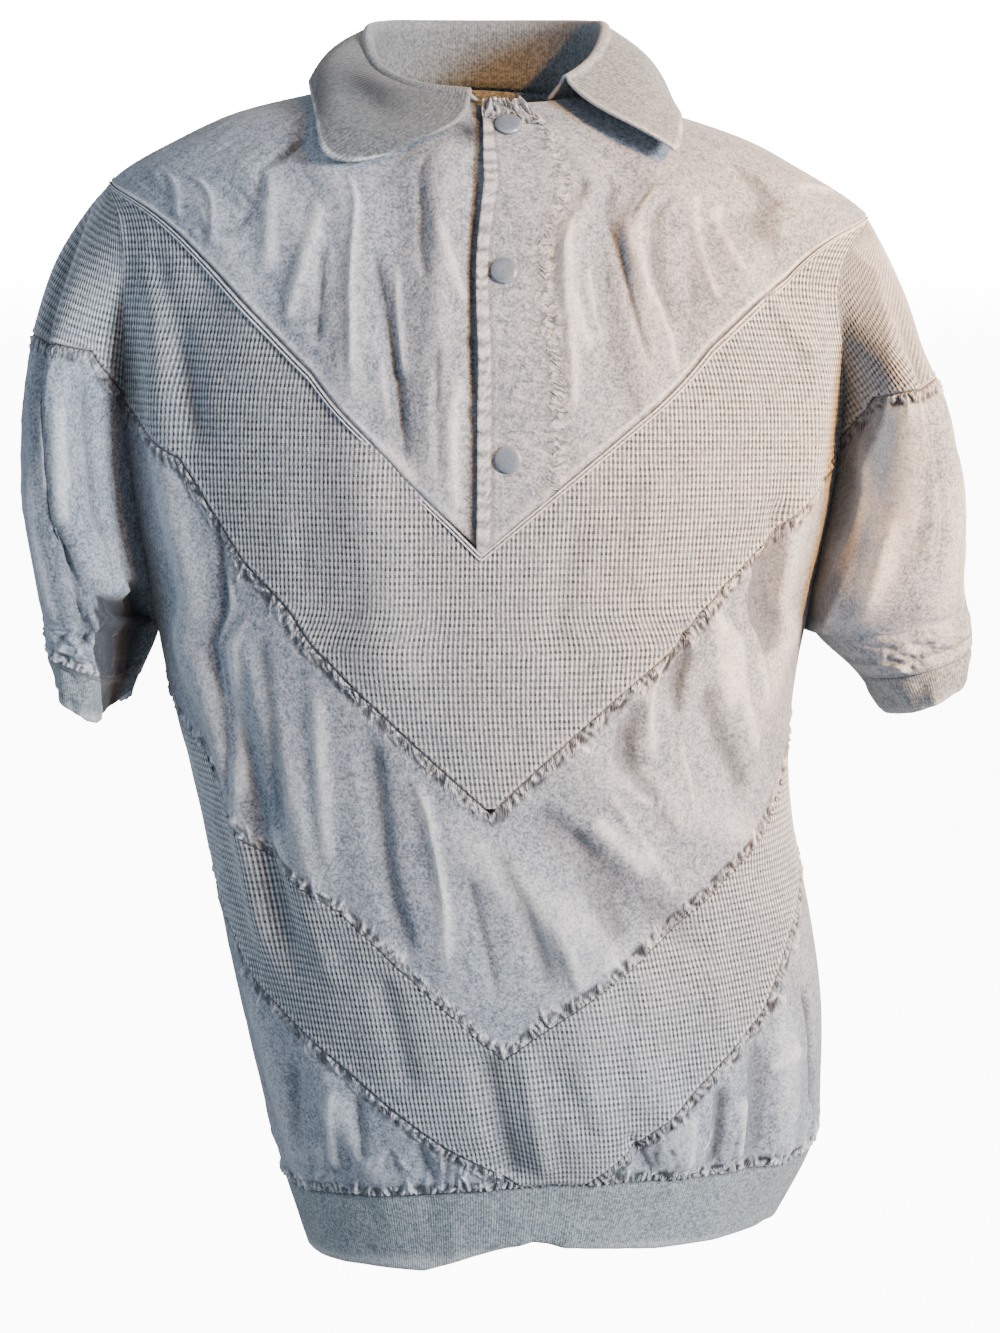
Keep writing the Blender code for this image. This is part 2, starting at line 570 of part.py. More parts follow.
def trims(cloth, cord):
    """The cord along the yoke seam and the binding at the top of the opening."""
    piping = Cloth("yoke_piping", thickness=1.2, lift=on_top(WALL / 2 + GAP + 0.6))
    rows = [(cut_line("yoke", "middle", "top", (0,))[0], 0, 0, 0), (cord_edge, 1, 0, 0)]
    end = SIDE - 2.0
    piping.block([-end, *body_columns()[1:-1], end], rows)
    piping.drape(0.3).wall().finish(cord)
    binding = Cloth("neck_binding", thickness=1.2, lift=on_top(WALL / 2 + GAP + 1.5))
    rows = [(plain(1.2), 0, 0.5, 1.0), (plain(-5.0), 1, 0.5, 1.0), (plain(BINDING_END), 1, 0.3, 1.0)]
    binding.block(spread(-2.5, 33.0, 7.0), rows, cell=7.0)
    binding.drape(0.3).wall().finish(cloth)


def neck_line(angle):
    """Point of the neck opening, just inside it, at this turn from the front."""
    neck = dict(zip(BODY[0], BODY[1]))
    front = cos(angle) > 0
    x = neck["right"] * sin(angle)
    y = -(neck["front"] if front else neck["back"]) * cos(angle)
    rise = (neck["rise_front"] if front else neck["rise_back"]) * cos(angle) ** 2
    inside = 0.98
    return Vector((inside * x, inside * y, 1.4 + rise + neck["climb_right"] * x))


def collar(rib):
    """A stand and a fall in one knitted piece, folded along the roll."""
    names = COLLAR[0]
    turns = spread(-330.0, -3.0, 11.5)
    value = {n: np.array([column(COLLAR, n, t) for t in turns]) for n in names[1:]}
    piece = Cloth("collar", thickness=2.0)
    bm = piece.bm
    stand = (0.0, 0.4, 0.8)
    fall = (0.0, 0.22, 0.45, 0.7, 1.0)
    nx, ny = len(turns) - 1, len(stand) + len(fall)
    made = bmesh.ops.create_grid(bm, x_segments=nx, y_segments=ny, size=0.5)["verts"]
    for vert in made:
        i, j = round((vert.co.x + 0.5) * nx), round((0.5 - vert.co.y) * ny)
        angle = radians(turns[i])
        base = neck_line(angle)
        roll = Vector([value["roll_" + c][i] for c in "xyz"])
        edge = Vector([value["edge_" + c][i] for c in "xyz"])
        out = Vector((roll.x, roll.y, 0)).normalized()
        if j < len(stand):
            place = base.lerp(roll - out * 2.6 - Vector((0, 0, 3.2)), stand[j] / 0.8)
        elif j == len(stand):
            place = roll
        else:
            t = fall[j - len(stand) - 1]
            start = roll + out * 2.8 - Vector((0, 0, 3.0))
            place = start.lerp(edge, t) + (out + Vector((0, 0, 0.7))) * 5.0 * sin(pi * t)
        vert.co = place * MM
    bmesh.ops.triangulate(bm, faces=bm.faces[:])
    bm.normal_update()
    vectors = bm.verts.layers.float_vector
    piece.middle, piece.out = vectors.new("middle"), vectors.new("out")
    for vert in bm.verts:
        vert[piece.middle], vert[piece.out] = vert.co, vert.normal
    piece.wall().finish(rib)


def snaps(metal):
    """Three snap caps, flat domes that sit on the right front."""
    for number, (across, level) in enumerate(SNAPS[1:], 1):
        bm = bmesh.new()
        half, high = SNAP_WIDTH / 2, SNAP_HEIGHT
        outline = [(0, 0), (half * 0.9, 0), (half, 0.25 * high), (half * 0.97, 0.55 * high),
                   (half * 0.8, 0.85 * high), (half * 0.45, high), (0, high)]
        verts = [bm.verts.new((r * MM, 0, z * MM)) for r, z in outline]
        edges = [bm.edges.new(pair) for pair in zip(verts, verts[1:])]
        bmesh.ops.spin(bm, geom=verts + edges, cent=(0, 0, 0), axis=(0, 0, 1), angle=2 * pi,
                       steps=20, use_merge=True)
        bmesh.ops.remove_doubles(bm, verts=bm.verts[:], dist=0.01 * MM)
        bmesh.ops.recalc_face_normals(bm, faces=bm.faces[:])
        place, out = slopes(folded, np.array([across]), np.array([level]), np.array([FRONT]))
        seat = place[0] + out[0] * (WALL / 2 + 0.45)
        turn = Vector(out[0]).to_track_quat("Z", "Y").to_matrix().to_4x4()
        bmesh.ops.transform(bm, matrix=Matrix.Translation(Vector(seat) * MM) @ turn, verts=bm.verts[:])
        mesh = bpy.data.meshes.new("snap_%d" % number)
        bm.to_mesh(mesh)
        bm.free()
        mesh.shade_smooth()
        mesh.materials.append(metal)
        piece = bpy.data.objects.new("snap_%d" % number, mesh)
        bpy.context.scene.collection.objects.link(piece)


def main():
    for item in list(bpy.data.objects):
        bpy.data.objects.remove(item, do_unlink=True)
    cloth = material("washed_cotton", (0.30, 0.35, 0.40), 0.9)
    knit = material("waffle_knit", (0.24, 0.29, 0.33), 0.95)
    rib = material("rib_knit", (0.26, 0.31, 0.34), 0.95)
    cap = material("snap_enamel", (0.30, 0.38, 0.48), 0.35)
    fronts(cloth, knit)
    back(cloth)
    bands(rib)
    trims(cloth, cloth)
    collar(rib)
    snaps(cap)


main()
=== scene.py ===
"""Short-sleeved knit polo shirt, shaped as on a wearer but empty: the look of its cloth, knit, seams and snaps.

Every panel is cut in the model's pattern plane ("across" in mm from the centre line, "level" in mm
below the shoulder neck point), laid on the model's own form, and then given its creases, its
puckered seams and its knit.  Lengths are millimetres until a mesh is written, in metres.
"""
from functools import reduce
from math import cos, pi, radians, sin, sqrt

import bmesh
import bpy
import numpy as np
from bpy.props import FloatProperty, FloatVectorProperty, PointerProperty
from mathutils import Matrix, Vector


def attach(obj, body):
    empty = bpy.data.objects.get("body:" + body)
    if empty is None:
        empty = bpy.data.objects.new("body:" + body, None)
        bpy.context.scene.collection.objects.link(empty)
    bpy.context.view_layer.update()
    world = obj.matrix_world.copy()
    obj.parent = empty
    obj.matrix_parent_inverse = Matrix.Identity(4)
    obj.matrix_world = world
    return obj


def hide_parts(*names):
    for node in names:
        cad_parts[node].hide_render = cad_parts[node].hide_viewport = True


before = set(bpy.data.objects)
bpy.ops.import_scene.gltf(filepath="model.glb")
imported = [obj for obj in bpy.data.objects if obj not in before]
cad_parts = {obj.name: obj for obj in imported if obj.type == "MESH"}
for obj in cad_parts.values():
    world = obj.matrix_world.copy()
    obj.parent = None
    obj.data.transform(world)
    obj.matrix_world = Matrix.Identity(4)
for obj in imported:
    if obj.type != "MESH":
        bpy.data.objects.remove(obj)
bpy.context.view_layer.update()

bl_info = {
    "name": "Knit polo shirt",
    "version": (1, 0, 0),
    "blender": (4, 5, 0),
    "location": "3D View > Sidebar > Shirt",
    "description": "Dresses the solids of a polo shirt with its cloth, knit, seams and snaps",
    "category": "Object",
}

MM = 0.001
FRONT, BACK = -1, 1

# ------------------------------------------------------------ the model's form, millimetres
WALL = 1.5
SIDE = 262.0              # centre line to side seam
ARM = 146.0               # underarm seam to the seam along the top of the sleeve
SHOULDER_POINT = -60.0
ARMPIT = -318.0
CUFF_TOP, CUFF_END = -346.0, -370.0
HEM_TOP, HEM_END = -645.0, -691.0
CORD_DROP = 4.2           # width of the cord in the pattern
BINDING_END = -12.0
LAP_EDGE, LAP = -3.0, 22.0  # edge of the right front, and how far the left one runs under it
PARTING = (85, 185)       # between these depths the sleeve parts from the body
HANGING = (230, 318)      # and between these it comes to hang free
CREASE_HALF = 19.0        # half the width of the rounded armhole crease
FOLD_END = 28.0           # length over which the ends of a fold die away
PIPING_CUT = (0.66, 0.012)                      # m
COLLAR_CUT, COLLAR_AREA = (0.52, 0.095), 0.046  # m, m2

BODY = [
    ("level", "left", "right", "front", "back", "climb_left", "climb_right", "rise_front", "rise_back"),
    (   0,  72,  72,  62,  64, -0.045, -0.045, -14,  9),
    (  -8, 105, 105,  68,  70, -0.045, -0.045, -11,  7),
    ( -20, 146, 148,  76,  79, -0.045, -0.045,  -8,  4),
    ( -38, 184, 187,  86,  89, -0.045, -0.045,  -4,  2),
    ( -60, 219, 224,  95,  98, -0.045, -0.045,   0,  0),
    (-110, 222, 224, 112, 108, -0.040, -0.040,   0,  0),
    (-175, 221, 219, 124, 112, -0.020, -0.020,   0,  0),
    (-240, 213, 210, 128, 110,  0.000,  0.000,   0,  0),
    (-300, 202, 197, 128, 106,  0.000,  0.000,   0,  0),
    (-350, 193, 188, 127, 103,  0.010,  0.000,   0,  0),
    (-400, 181, 185, 125, 102,  0.020,  0.010,   0,  0),
    (-450, 170, 190, 124, 104,  0.030,  0.020,   0,  0),
    (-500, 161, 200, 124, 109,  0.045,  0.030,   3,  0),
    (-553, 150, 208, 125, 114,  0.060,  0.030,   6,  0),
    (-600, 139, 209, 125, 116,  0.080,  0.030,  10,  0),
    (-645, 128, 206, 113, 106,  0.100,  0.030,  14,  0),
    (-691, 114, 183, 104,  98,  0.100,  0.020,  16,  0),
]
WIDTH = [
    ("level", "half"),
    (   0,  75), (  -8, 110), ( -20, 152), ( -38, 196), ( -60, 240), (-100, 262), (-400, 262),
    (-550, 256), (-691, 246),
]
SLEEVE = [
    ("level", "left", "right", "depth", "crease", "width", "under_left", "under_right"),
    ( -60, 219, 224, 20,  60,   1, 202, 197),
    ( -80, 236, 236, 40,  55,  60, 202, 197),
    (-104, 252, 247, 58,  50, 100, 202, 197),
    (-141, 264, 257, 68,  42, 126, 202, 197),
    (-175, 268, 266, 72,  36, 138, 202, 197),
    (-230, 269, 276, 72,  30, 146, 202, 197),
    (-277, 268, 284, 70,  26, 148, 202, 197),
    (-296, 268, 288, 69,  22, 147, 202, 197),
    (-318, 267, 292, 68,   0, 143, 202, 200),
    (-346, 265, 294, 66,   0, 134, 214, 228),
    (-370, 262, 291, 58,   0, 124, 224, 244),
]
SLEEVE_DROP = [("level", "drop"), (-250, 0), (-300, 5), (-346, 22), (-370, 26)]
# Seams between the panels, and the lower edge: points (across, level).
SEAMS = {
    "yoke": ((-262, -62), (-196, -109), (-109, -167), (0, -263.5), (153, -147), (218, -106), (262, -62)),
    "middle": ((-408, -146), (-286, -158), (-262, -183), (-196, -214), (-153, -270), (-87, -325), (0, -409),
               (153, -288), (262, -203), (286, -174), (408, -155)),
    "lower": ((-262, -345), (-196, -384), (-175, -428), (-109, -468), (-22, -558), (196, -430), (262, -378)),
    "underarm": ((-262, ARMPIT), (-175, -352), (0, -470), (153, -372), (262, ARMPIT)),
    "hem": ((-262, -440), (-196, -515), (-131, -560), (-66, -614), (-22, -644), (22, -644), (109, -577),
            (153, -546), (196, -502), (262, -450)),
    "cuff_left": ((-408, -366), (-350, -371), (-300, -372), (-280, -364), (-262, -354)),
    "cuff_right": ((262, CUFF_END), (408, CUFF_END)),
    "edge": ((-262, -691), (-150, -694), (-95, -698), (-40, -688), (-10, -684), (30, -690), (90, -692),
             (140, -690), (200, -686), (262, -691)),
}
# Soft folds of the front: across, level, across_end, level_end, width, height.
FRONT_FOLDS = (
    (-205, -70, -150, -150, 16, 3.0), (-150, -45, -110, -140, 15, 3.0), (-100, -30, -78, -200, 13, 3.5),
    (-58, -30, -50, -225, 12, -3.0), (-30, -40, -26, -235, 9, 3.0), (62, -30, 56, -190, 11, 3.0),
    (88, -30, 84, -170, 10, -2.5), (112, -40, 104, -180, 13, 3.0), (165, -60, 140, -150, 15, -3.0),
    (205, -70, 180, -120, 14, 3.0), (-232, -110, -205, -235, 17, 6.0), (-208, -235, -186, -345, 14, 7.0),
    (236, -120, 214, -260, 15, 5.0), (214, -260, 186, -370, 16, 5.0), (-176, -330, -172, -500, 11, 6.0),
    (-156, -340, -150, -500, 9, -4.0), (-134, -320, -120, -470, 12, 4.0), (-30, -420, 88, -530, 17, 5.0),
    (20, -420, 130, -500, 15, -4.0), (60, -385, 182, -440, 15, 4.5), (70, -560, 88, -640, 13, 4.0),
    (150, -560, 146, -640, 10, -6.0), (172, -545, 176, -640, 14, 5.0), (-150, -560, -120, -640, 14, 4.0),
    (-205, -520, -190, -640, 14, 4.0), (35, -470, 30, -640, 24, 5.0), (-352, -90, -322, -300, 15, -7.0),
    (-384, -190, -360, -340, 13, 4.0), (336, -120, 318, -300, 16, -4.0), (372, -170, 356, -330, 14, 4.0),
)
# Soft folds of the back: across, level, across_end, level_end, width, height.
BACK_FOLDS = (
    (-205, -70, -180, -330, 20, 5.0), (205, -70, 180, -330, 20, 5.0), (-120, -40, -100, -300, 22, -4.0),
    (60, -60, 70, -320, 24, 4.0), (-150, -350, -110, -600, 20, 5.0), (-40, -330, -20, -610, 24, -5.0),
    (90, -340, 120, -610, 22, 6.0), (190, -420, 180, -630, 18, -5.0), (-345, -90, -325, -300, 17, -5.0),
    (345, -90, 325, -300, 17, -5.0),
)
FOLDS = [(FRONT, *row) for row in FRONT_FOLDS] + [(BACK, *row) for row in BACK_FOLDS]
COLLAR = [
    ("turn", "roll_x", "roll_y", "roll_z", "edge_x", "edge_y", "edge_z"),
    (  -3,  -8, -68,  -7,  -60, -102, -52),
    ( -25, -35, -60,  -3,  -86,  -87, -38),
    ( -50, -59, -42,   9,  -97,  -60, -14),
    ( -75, -68, -18,  27, -101,  -22,   3),
    ( -90, -69,   2,  37, -102,    5,   7),
    (-120, -60,  36,  46,  -95,   52,   1),
    (-150, -35,  60,  50,  -55,   92, -13),
    (-180,   0,  67,  51,    0,  106, -18),
    (-210,  36,  60,  50,   57,   92, -14),
    (-240,  62,  36,  46,   99,   52,  -5),
    (-270,  70,   2,  39,  107,    5,  -3),
    (-285,  69, -18,  31,  110,  -20,  -8),
    (-305,  62, -38,  16,  111,  -46, -19),
    (-320,  52, -52,   6,  110,  -72, -33),
    (-330,  45, -61,   1,  108,  -93, -43),
]
SNAPS = [("across", "level"), (18, -20), (17, -109), (16, -211)]
SNAP_WIDTH, SNAP_HEIGHT = 15.2, 3.2
# Half of a snap cap, as shares of its half width and height.
SNAP_OUTLINE = [
    (0.0, 0.0), (0.86, 0.0), (0.95, 0.06), (0.99, 0.2), (1.0, 0.36), (0.98, 0.52), (0.93, 0.68),
    (0.86, 0.80), (0.77, 0.88), (0.66, 0.94), (0.52, 0.975), (0.36, 0.995), (0.18, 1.0), (0.0, 1.0),
]

# ------------------------------------------------------------ creases placed one by one
# Ridges (+) and troughs (-) finer than the model's folds: width, height, and a line of pattern points.
FRONT_CREASES = (
    # left yoke
    (7, 1.8, (-127, -50), (-145, -83), (-151, -120)),
    (5, -2.2, (-131, -31), (-127, -42), (-138, -66), (-152, -76)),
    (6, 1.8, (-105, -71), (-128, -120), (-127, -146)), (4, -1.8, (-112, -95), (-108, -154)),
    (3, 1.9, (-80, -50), (-91, -108), (-84, -150), (-80, -180)),
    (4, -2.4, (-76, -92), (-67, -127), (-61, -142), (-51, -182), (-45, -219)),
    (4, 1.8, (-60, -105), (-56, -140), (-48, -172)), (5, 1.8, (-35, -80), (-23, -101), (-9, -130)),
    (3.5, 1.5, (-66, -155), (-57, -194)), (4, -1.8, (-30, -145), (-25, -211), (-29, -228)),
    (5, 1.8, (-12, -160), (-19, -196), (-15, -244)), (4, -1.8, (-9, -30), (-5, -90), (-6, -190)),
    (2.5, -1.2, (-22, -144), (-2, -148)), (2.5, -1.2, (-18, -180), (-2, -190)),
    (3, -1.5, (-203, -94), (-172, -94), (-157, -80)), (3, 1.2, (-192, -60), (-214, -88)),
    (4, 1.3, (-176, -60), (-190, -102)), (4, -1.2, (-40, -40), (-44, -90), (-36, -120)),
    # right yoke
    (3, -2.2, (70, -40), (72, -60), (81, -75), (97, -95), (104, -120), (107, -165)),
    (4, -1.4, (54, -50), (57, -72), (56, -86)), (4, 1.5, (58, -76), (59, -136), (54, -181), (64, -194)),
    (4.5, 1.6, (120, -118), (123, -150)), (6, -1.9, (105, -58), (128, -112), (132, -142)),
    (3, 1.5, (115, -56), (155, -91), (172, -128)), (3, 1.4, (133, -62), (167, -84), (192, -110)),
    (5, 1.6, (90, -70), (111, -106), (121, -130), (123, -172)), (5, 1.4, (56, -60), (61, -120), (72, -160)),
    (6, -2.2, (166, -34), (173, -45), (164, -60), (190, -80), (213, -92)),
    (3, 1.5, (231, -52), (196, -50), (193, -60)), (4, 1.3, (92, -50), (112, -100), (114, -130)),
    (3, -1.2, (146, -92), (150, -124)), (3, 1.2, (74, -100), (78, -150)),
    # waffle of the chest
    (9, -3.0, (-240, -100), (-209, -146), (-190, -178), (-180, -214)),
    (24, 4.0, (-70, -195), (-64, -266), (-44, -350)), (7, 1.8, (200, -110), (221, -138), (228, -153)),
    (9, -1.8, (60, -240), (44, -330)), (9, 1.6, (108, -210), (96, -290)),
    # left of the body
    (4, -2.2, (-171, -236), (-170, -278), (-160, -350), (-180, -425)),
    (3, 1.4, (-167, -262), (-160, -317), (-165, -376)), (6, 1.8, (-147, -296), (-155, -364), (-170, -418)),
    (6, -2.0, (-133, -304), (-127, -360), (-141, -430)), (6, 1.6, (-95, -334), (-101, -383), (-110, -446)),
    (7, -3.0, (-67, -356), (-68, -405), (-73, -452), (-65, -502)),
    (5, 1.8, (-46, -384), (-37, -404), (-36, -451), (-46, -505)),
    # middle chevron
    (6, -2.0, (-4, -424), (10, -458), (17, -520)), (9, -3.0, (22, -404), (52, -431), (68, -494)),
    (3, 1.5, (66, -392), (86, -416), (112, -468)), (6, -2.2, (86, -356), (86, -383), (113, -424)),
    (3, 1.4, (88, -398), (130, -430)), (4, -2.2, (127, -318), (120, -335), (121, -360)),
    (3, 1.4, (121, -367), (127, -396), (125, -424)), (8, -2.0, (136, -334), (152, -371), (180, -413)),
    (5, 1.6, (155, -300), (166, -348), (190, -395)), (4, 1.4, (173, -310), (189, -362)),
    (8, -3.0, (190, -262), (186, -300), (180, -330)), (6, 1.6, (28, -470), (36, -520)),
    (5, -1.4, (-20, -440), (-18, -520)),
    # lower waffle
    (9, -3.2, (-34, -545), (-30, -600), (-25, -645)), (8, 2.4, (-8, -545), (-6, -600), (-3, -645)),
    (8, -1.8, (10, -560), (28, -615)), (9, 1.8, (70, -520), (60, -600)), (9, -1.8, (-90, -500), (-84, -580)),
    (9, 1.6, (130, -480), (120, -550)),
    # above the hem
    (5, -3.2, (119, -580), (113, -648)), (4.5, -2.4, (50, -606), (70, -642)),
    (5, 1.8, (156, -578), (188, -570)), (5, -2.4, (-122, -576), (-127, -622)),
    (5, 2.0, (-137, -574), (-156, -630)), (5, -2.0, (-86, -608), (-82, -640)),
    (6, -1.8, (-169, -560), (-188, -620)), (5, 1.6, (96, -596), (92, -640)), (5, 1.6, (136, -590), (133, -640)),
    (5, -1.8, (204, -530), (214, -620)), (8, 1.4, (-150, -410), (-120, -520)),
    (9, -1.4, (60, -500), (70, -570)),
    # left sleeve
    (5, -2.4, (-321, -255), (-337, -300), (-333, -338)), (6, 1.8, (-311, -173), (-312, -220), (-320, -258)),
    (5, -1.8, (-288, -166), (-289, -210), (-289, -273)), (5, 1.6, (-352, -210), (-358, -280), (-352, -330)),
    (4, -1.8, (-374, -240), (-372, -330)), (5, 1.4, (-342, -176), (-340, -240)),
    # right sleeve
    (24, 1.6, (304, -130), (300, -200), (300, -270), (308, -335)),
    (6, -0.9, (285, -246), (293, -280), (302, -314)), (4, 1.8, (280, -194), (284, -240), (281, -290)),
    (4, 1.8, (302, -250), (312, -300)), (5, -1.6, (340, -180), (348, -300)),
    (4, -2.0, (328, -327), (358, -341)), (3, 1.8, (303, -334), (320, -343)), (5, 1.5, (366, -200), (376, -320)),
    # broad dark and bright folds down the right of the body
    (8, -3.0, (191, -231), (201, -270), (187, -317)), (4.5, -2.4, (128, -300), (119, -324), (118, -350)),
    (6, -2.2, (95, -345), (88, -368), (82, -390)), (7, 2.0, (150, -280), (147, -320), (160, -362)),
    (4, 1.8, (103, -326), (101, -352), (102, -384)), (2.4, 1.6, (78, -393), (98, -406), (122, -420)),
    (7, -2.2, (44, -420), (60, -438), (80, -458)), (6, 1.8, (60, -412), (78, -432), (98, -450)),
)
# Long soft folds of the back from the shoulders, the underarms and the gathered hem.
BACK_CREASES = (
    (13, 2.0, (-150, -50), (-172, -150), (-168, -260)), (15, -2.0, (-104, -50), (-124, -190), (-116, -300)),
    (14, 1.7, (-44, -60), (-52, -190), (-34, -330)), (16, -1.7, (24, -60), (14, -200), (26, -330)),
    (14, 1.8, (86, -60), (80, -190), (92, -300)), (13, -2.0, (150, -50), (168, -150), (160, -270)),
    (9, -2.4, (-246, -300), (-205, -350), (-150, -430)), (8, 1.8, (-240, -330), (-196, -392), (-150, -480)),
    (9, -2.4, (246, -300), (205, -350), (154, -430)), (8, 1.8, (240, -330), (196, -392), (158, -480)),
    (15, -1.8, (-60, -330), (-78, -440), (-58, -560)), (14, 1.8, (6, -350), (-10, -470), (4, -600)),
    (14, -1.8, (70, -340), (92, -450), (78, -570)), (7, 1.8, (-196, -500), (-186, -570), (-192, -645)),
    (6, -2.2, (-160, -540), (-152, -590), (-158, -645)), (7, 1.8, (-104, -550), (-98, -600), (-102, -645)),
    (5, -2.0, (-60, -580), (-56, -645)), (6, 1.8, (36, -570), (42, -645)), (5, -2.2, (84, -590), (80, -645)),
    (7, 1.8, (130, -540), (124, -600), (130, -645)), (6, -2.2, (176, -550), (182, -645)),
    (7, 1.6, (222, -520), (216, -640)), (12, 2.0, (-330, -120), (-338, -220), (-326, -330)),
    (10, -1.8, (-370, -160), (-372, -320)), (12, 2.0, (330, -120), (340, -220), (326, -330)),
    (10, -1.8, (372, -160), (370, -320)),
)
CREASES = [(FRONT, *row) for row in FRONT_CREASES] + [(BACK, *row) for row in BACK_CREASES]
# Where a painted shadow lies on the right sleeve beside the body, and where the left sleeve folds under:
# the edge of each, as (level, across).
SHADOW_BESIDE_BODY = ((-322, 262), (-314, 289), (-303, 291), (-287, 292), (-248, 286), (-215, 284), (-187, 295),
          (-161, 304), (-120, 316), (-96, 318), (-84, 262))
UNDERFOLD = ((-372, -292), (-354, -303), (-328, -323), (-302, -321), (-293, -300), (-288, -262))
WALE, COURSE = 2.8, 3.9       # pitch of the waffle
LEAN = (-9.0, 34.0)           # how far the waffle turns on the left and right sleeve, degrees
KNIT_DEPTH = 0.9
RIB, STITCH = 0.0019, 0.0016  # pitch of the rib knit, m
GAP, NARROW = 0.05, 0.02      # cuts stay this far from side seams and sleeve tops
PUCKER_PITCH, LINK_PITCH = 3.9, 9  # along a gathered seam
PUCKER_REACH = (5.0, 11)
# Distances of the grid's rows from a gathered seam.
NEAR_SEAM = (0, 0.5, 1.1, 1.8, 2.6, 3.5, 4.5, 5.6, 6.8, 8.1, 9.6, 11.4, 13.8, 17.0)
# Area of a cut as a share of its box: of a rolled strip, and the least of any other.
STRIP_SHARE, LEAST_SHARE = 0.75, 0.3
ARC_STEPS = 3                 # rounds that find an even angle
CORNER_CUTS = 2               # rounds that soften a crease's corners
SLOPE_STEP = 5.0              # half the stretch over which a seam's slope is read


def column(table, name, at):
    """A column of a table as a smooth curve over its first column."""
    names, rows = table[0], sorted(table[1:])
    place = np.array([row[0] for row in rows], float)
    value = np.array([row[names.index(name)] for row in rows], float)
    slope = np.gradient(value, place)
    at = np.clip(at, place[0], place[-1])
    i = np.clip(np.searchsorted(place, at) - 1, 0, len(place) - 2)
    span = place[i + 1] - place[i]
    t = (at - place[i]) / span
    start = (2 * t**3 - 3 * t**2 + 1) * value[i] + (t**3 - 2 * t**2 + t) * span * slope[i]
    end = (3 * t**2 - 2 * t**3) * value[i + 1] + (t**3 - t**2) * span * slope[i + 1]
    return start + end


def line_at(points, at):
    """A line through points, read at these places."""
    return np.interp(at, *np.array(points, float).T)


def bell(value, centre, width):
    """1 at the centre, dying away over the width on both sides."""
    return np.exp(-((value - centre) / width) ** 2)


def most(*values):
    """The largest of some values at each point."""
    return reduce(np.maximum, values)


def ramp(value, low, high):
    """0 below low, 1 above high, smooth between."""
    t = np.clip((np.asarray(value, float) - low) / (high - low), 0.0, 1.0)
    return t * t * (3.0 - 2.0 * t)


def by_side(table, name, across, level):
    return np.where(across < 0, column(table, name + "_left", level), column(table, name + "_right", level))


def even_angle(share, a, b, last):
    """Angle on an ellipse at this share of its arc from the middle to the angle last."""
    e = (a - b) / (a + b)
    arc = share * (last + 0.5 * e * np.sin(2 * last))
    angle = arc - 0.5 * e * np.sin(2 * arc)
    for _ in range(ARC_STEPS):
        angle = angle - (angle + 0.5 * e * np.sin(2 * angle) - arc) / (1 + e * np.cos(2 * angle))
    return angle


def form(across, level, face):
    """Pattern points to the worn shirt without folds, as the model has it."""
    right = across >= 0
    sign = np.where(right, 1.0, -1.0)
    reach = np.abs(across)
    share = np.where(reach <= SIDE, reach / SIDE, 1.0)
    arm_share = np.maximum(reach - SIDE, 0.0) / ARM
    on_arm = reach > SIDE

    left_half, right_half = column(BODY, "left", level), column(BODY, "right", level)
    a, centre = 0.5 * (right_half + left_half), 0.5 * (right_half - left_half)
    b = np.where(face < 0, column(BODY, "front", level), column(BODY, "back", level))
    half = column(WIDTH, "half", level)
    low = np.minimum(level, SHOULDER_POINT)
    width = column(SLEEVE, "width", low)
    sleeve_left, sleeve_right = column(SLEEVE, "left", low), column(SLEEVE, "right", low)
    top = np.where(right, sleeve_right, sleeve_left)
    under = by_side(SLEEVE, "under", across, low)
    depth, crease = column(SLEEVE, "depth", low), column(SLEEVE, "crease", low)
    apart = level < ARMPIT
    crease = np.where(apart, 0.0, np.maximum(crease, 0.0))

    has_arm = level < SHOULDER_POINT
    run = share * half + arm_share * width
    full = np.where(has_arm, half + width, half)
    wide = np.where(has_arm, 0.5 * (sleeve_right + sleeve_left), a)
    middle = np.where(has_arm, 0.5 * (sleeve_right - sleeve_left), centre)
    turn = even_angle(run / full, wide, b, pi / 2)
    x_round, y_round = middle + sign * wide * np.sin(turn), b * np.cos(turn)

    last = np.where(apart, pi / 2, np.arccos(np.clip(crease / b, 0, 0.95)))
    turn = even_angle(share, a, b, last)
    x_body, y_body = centre + sign * a * np.sin(turn), b * np.cos(turn)
    x_crease = centre + sign * a * np.sin(last)
    hanging = ramp(-level, *HANGING)
    bow = (1 - hanging) * np.sin(arm_share * pi / 2) + hanging * 0.5 * (1 - np.cos(pi * arm_share))
    x_in = np.where(apart, sign * under, x_crease)
    x_arm = x_in + (sign * top - x_in) * bow
    y_arm = crease * (1 - arm_share) + depth * np.sin(pi * arm_share)
    soft = ramp(reach, SIDE - CREASE_HALF, SIDE + CREASE_HALF)
    mix = np.where(apart, on_arm * 1.0, soft)
    x_lobes, y_lobes = (1 - mix) * x_body + mix * x_arm, (1 - mix) * y_body + mix * y_arm

    lobes = ramp(-level, *PARTING)
    x = (1 - lobes) * x_round + lobes * x_lobes
    y = (1 - lobes) * y_round + lobes * y_lobes
    climb = by_side(BODY, "climb", across, level)
    toward = np.clip(y / b, 0, 1) ** 2
    rise = np.where(face < 0, column(BODY, "rise_front", level), column(BODY, "rise_back", level))
    drop = column(SLEEVE_DROP, "drop", level) * np.where(on_arm, bow, 0.0) * hanging
    z = level + climb * (x - centre * ramp(-level, 60, 400)) + rise * toward + drop
    return np.stack([x, np.where(face < 0, -y, y), z], -1)


def seam_level(name, across):
    """Level of a seam; a bare number is a straight cut at that level."""
    if not isinstance(name, str):
        return np.full(np.shape(across), float(name))
    return line_at(SEAMS[name], across)


def seam_slope(name, across):
    return (seam_level(name, across + SLOPE_STEP) - seam_level(name, across - SLOPE_STEP)) / (2 * SLOPE_STEP)


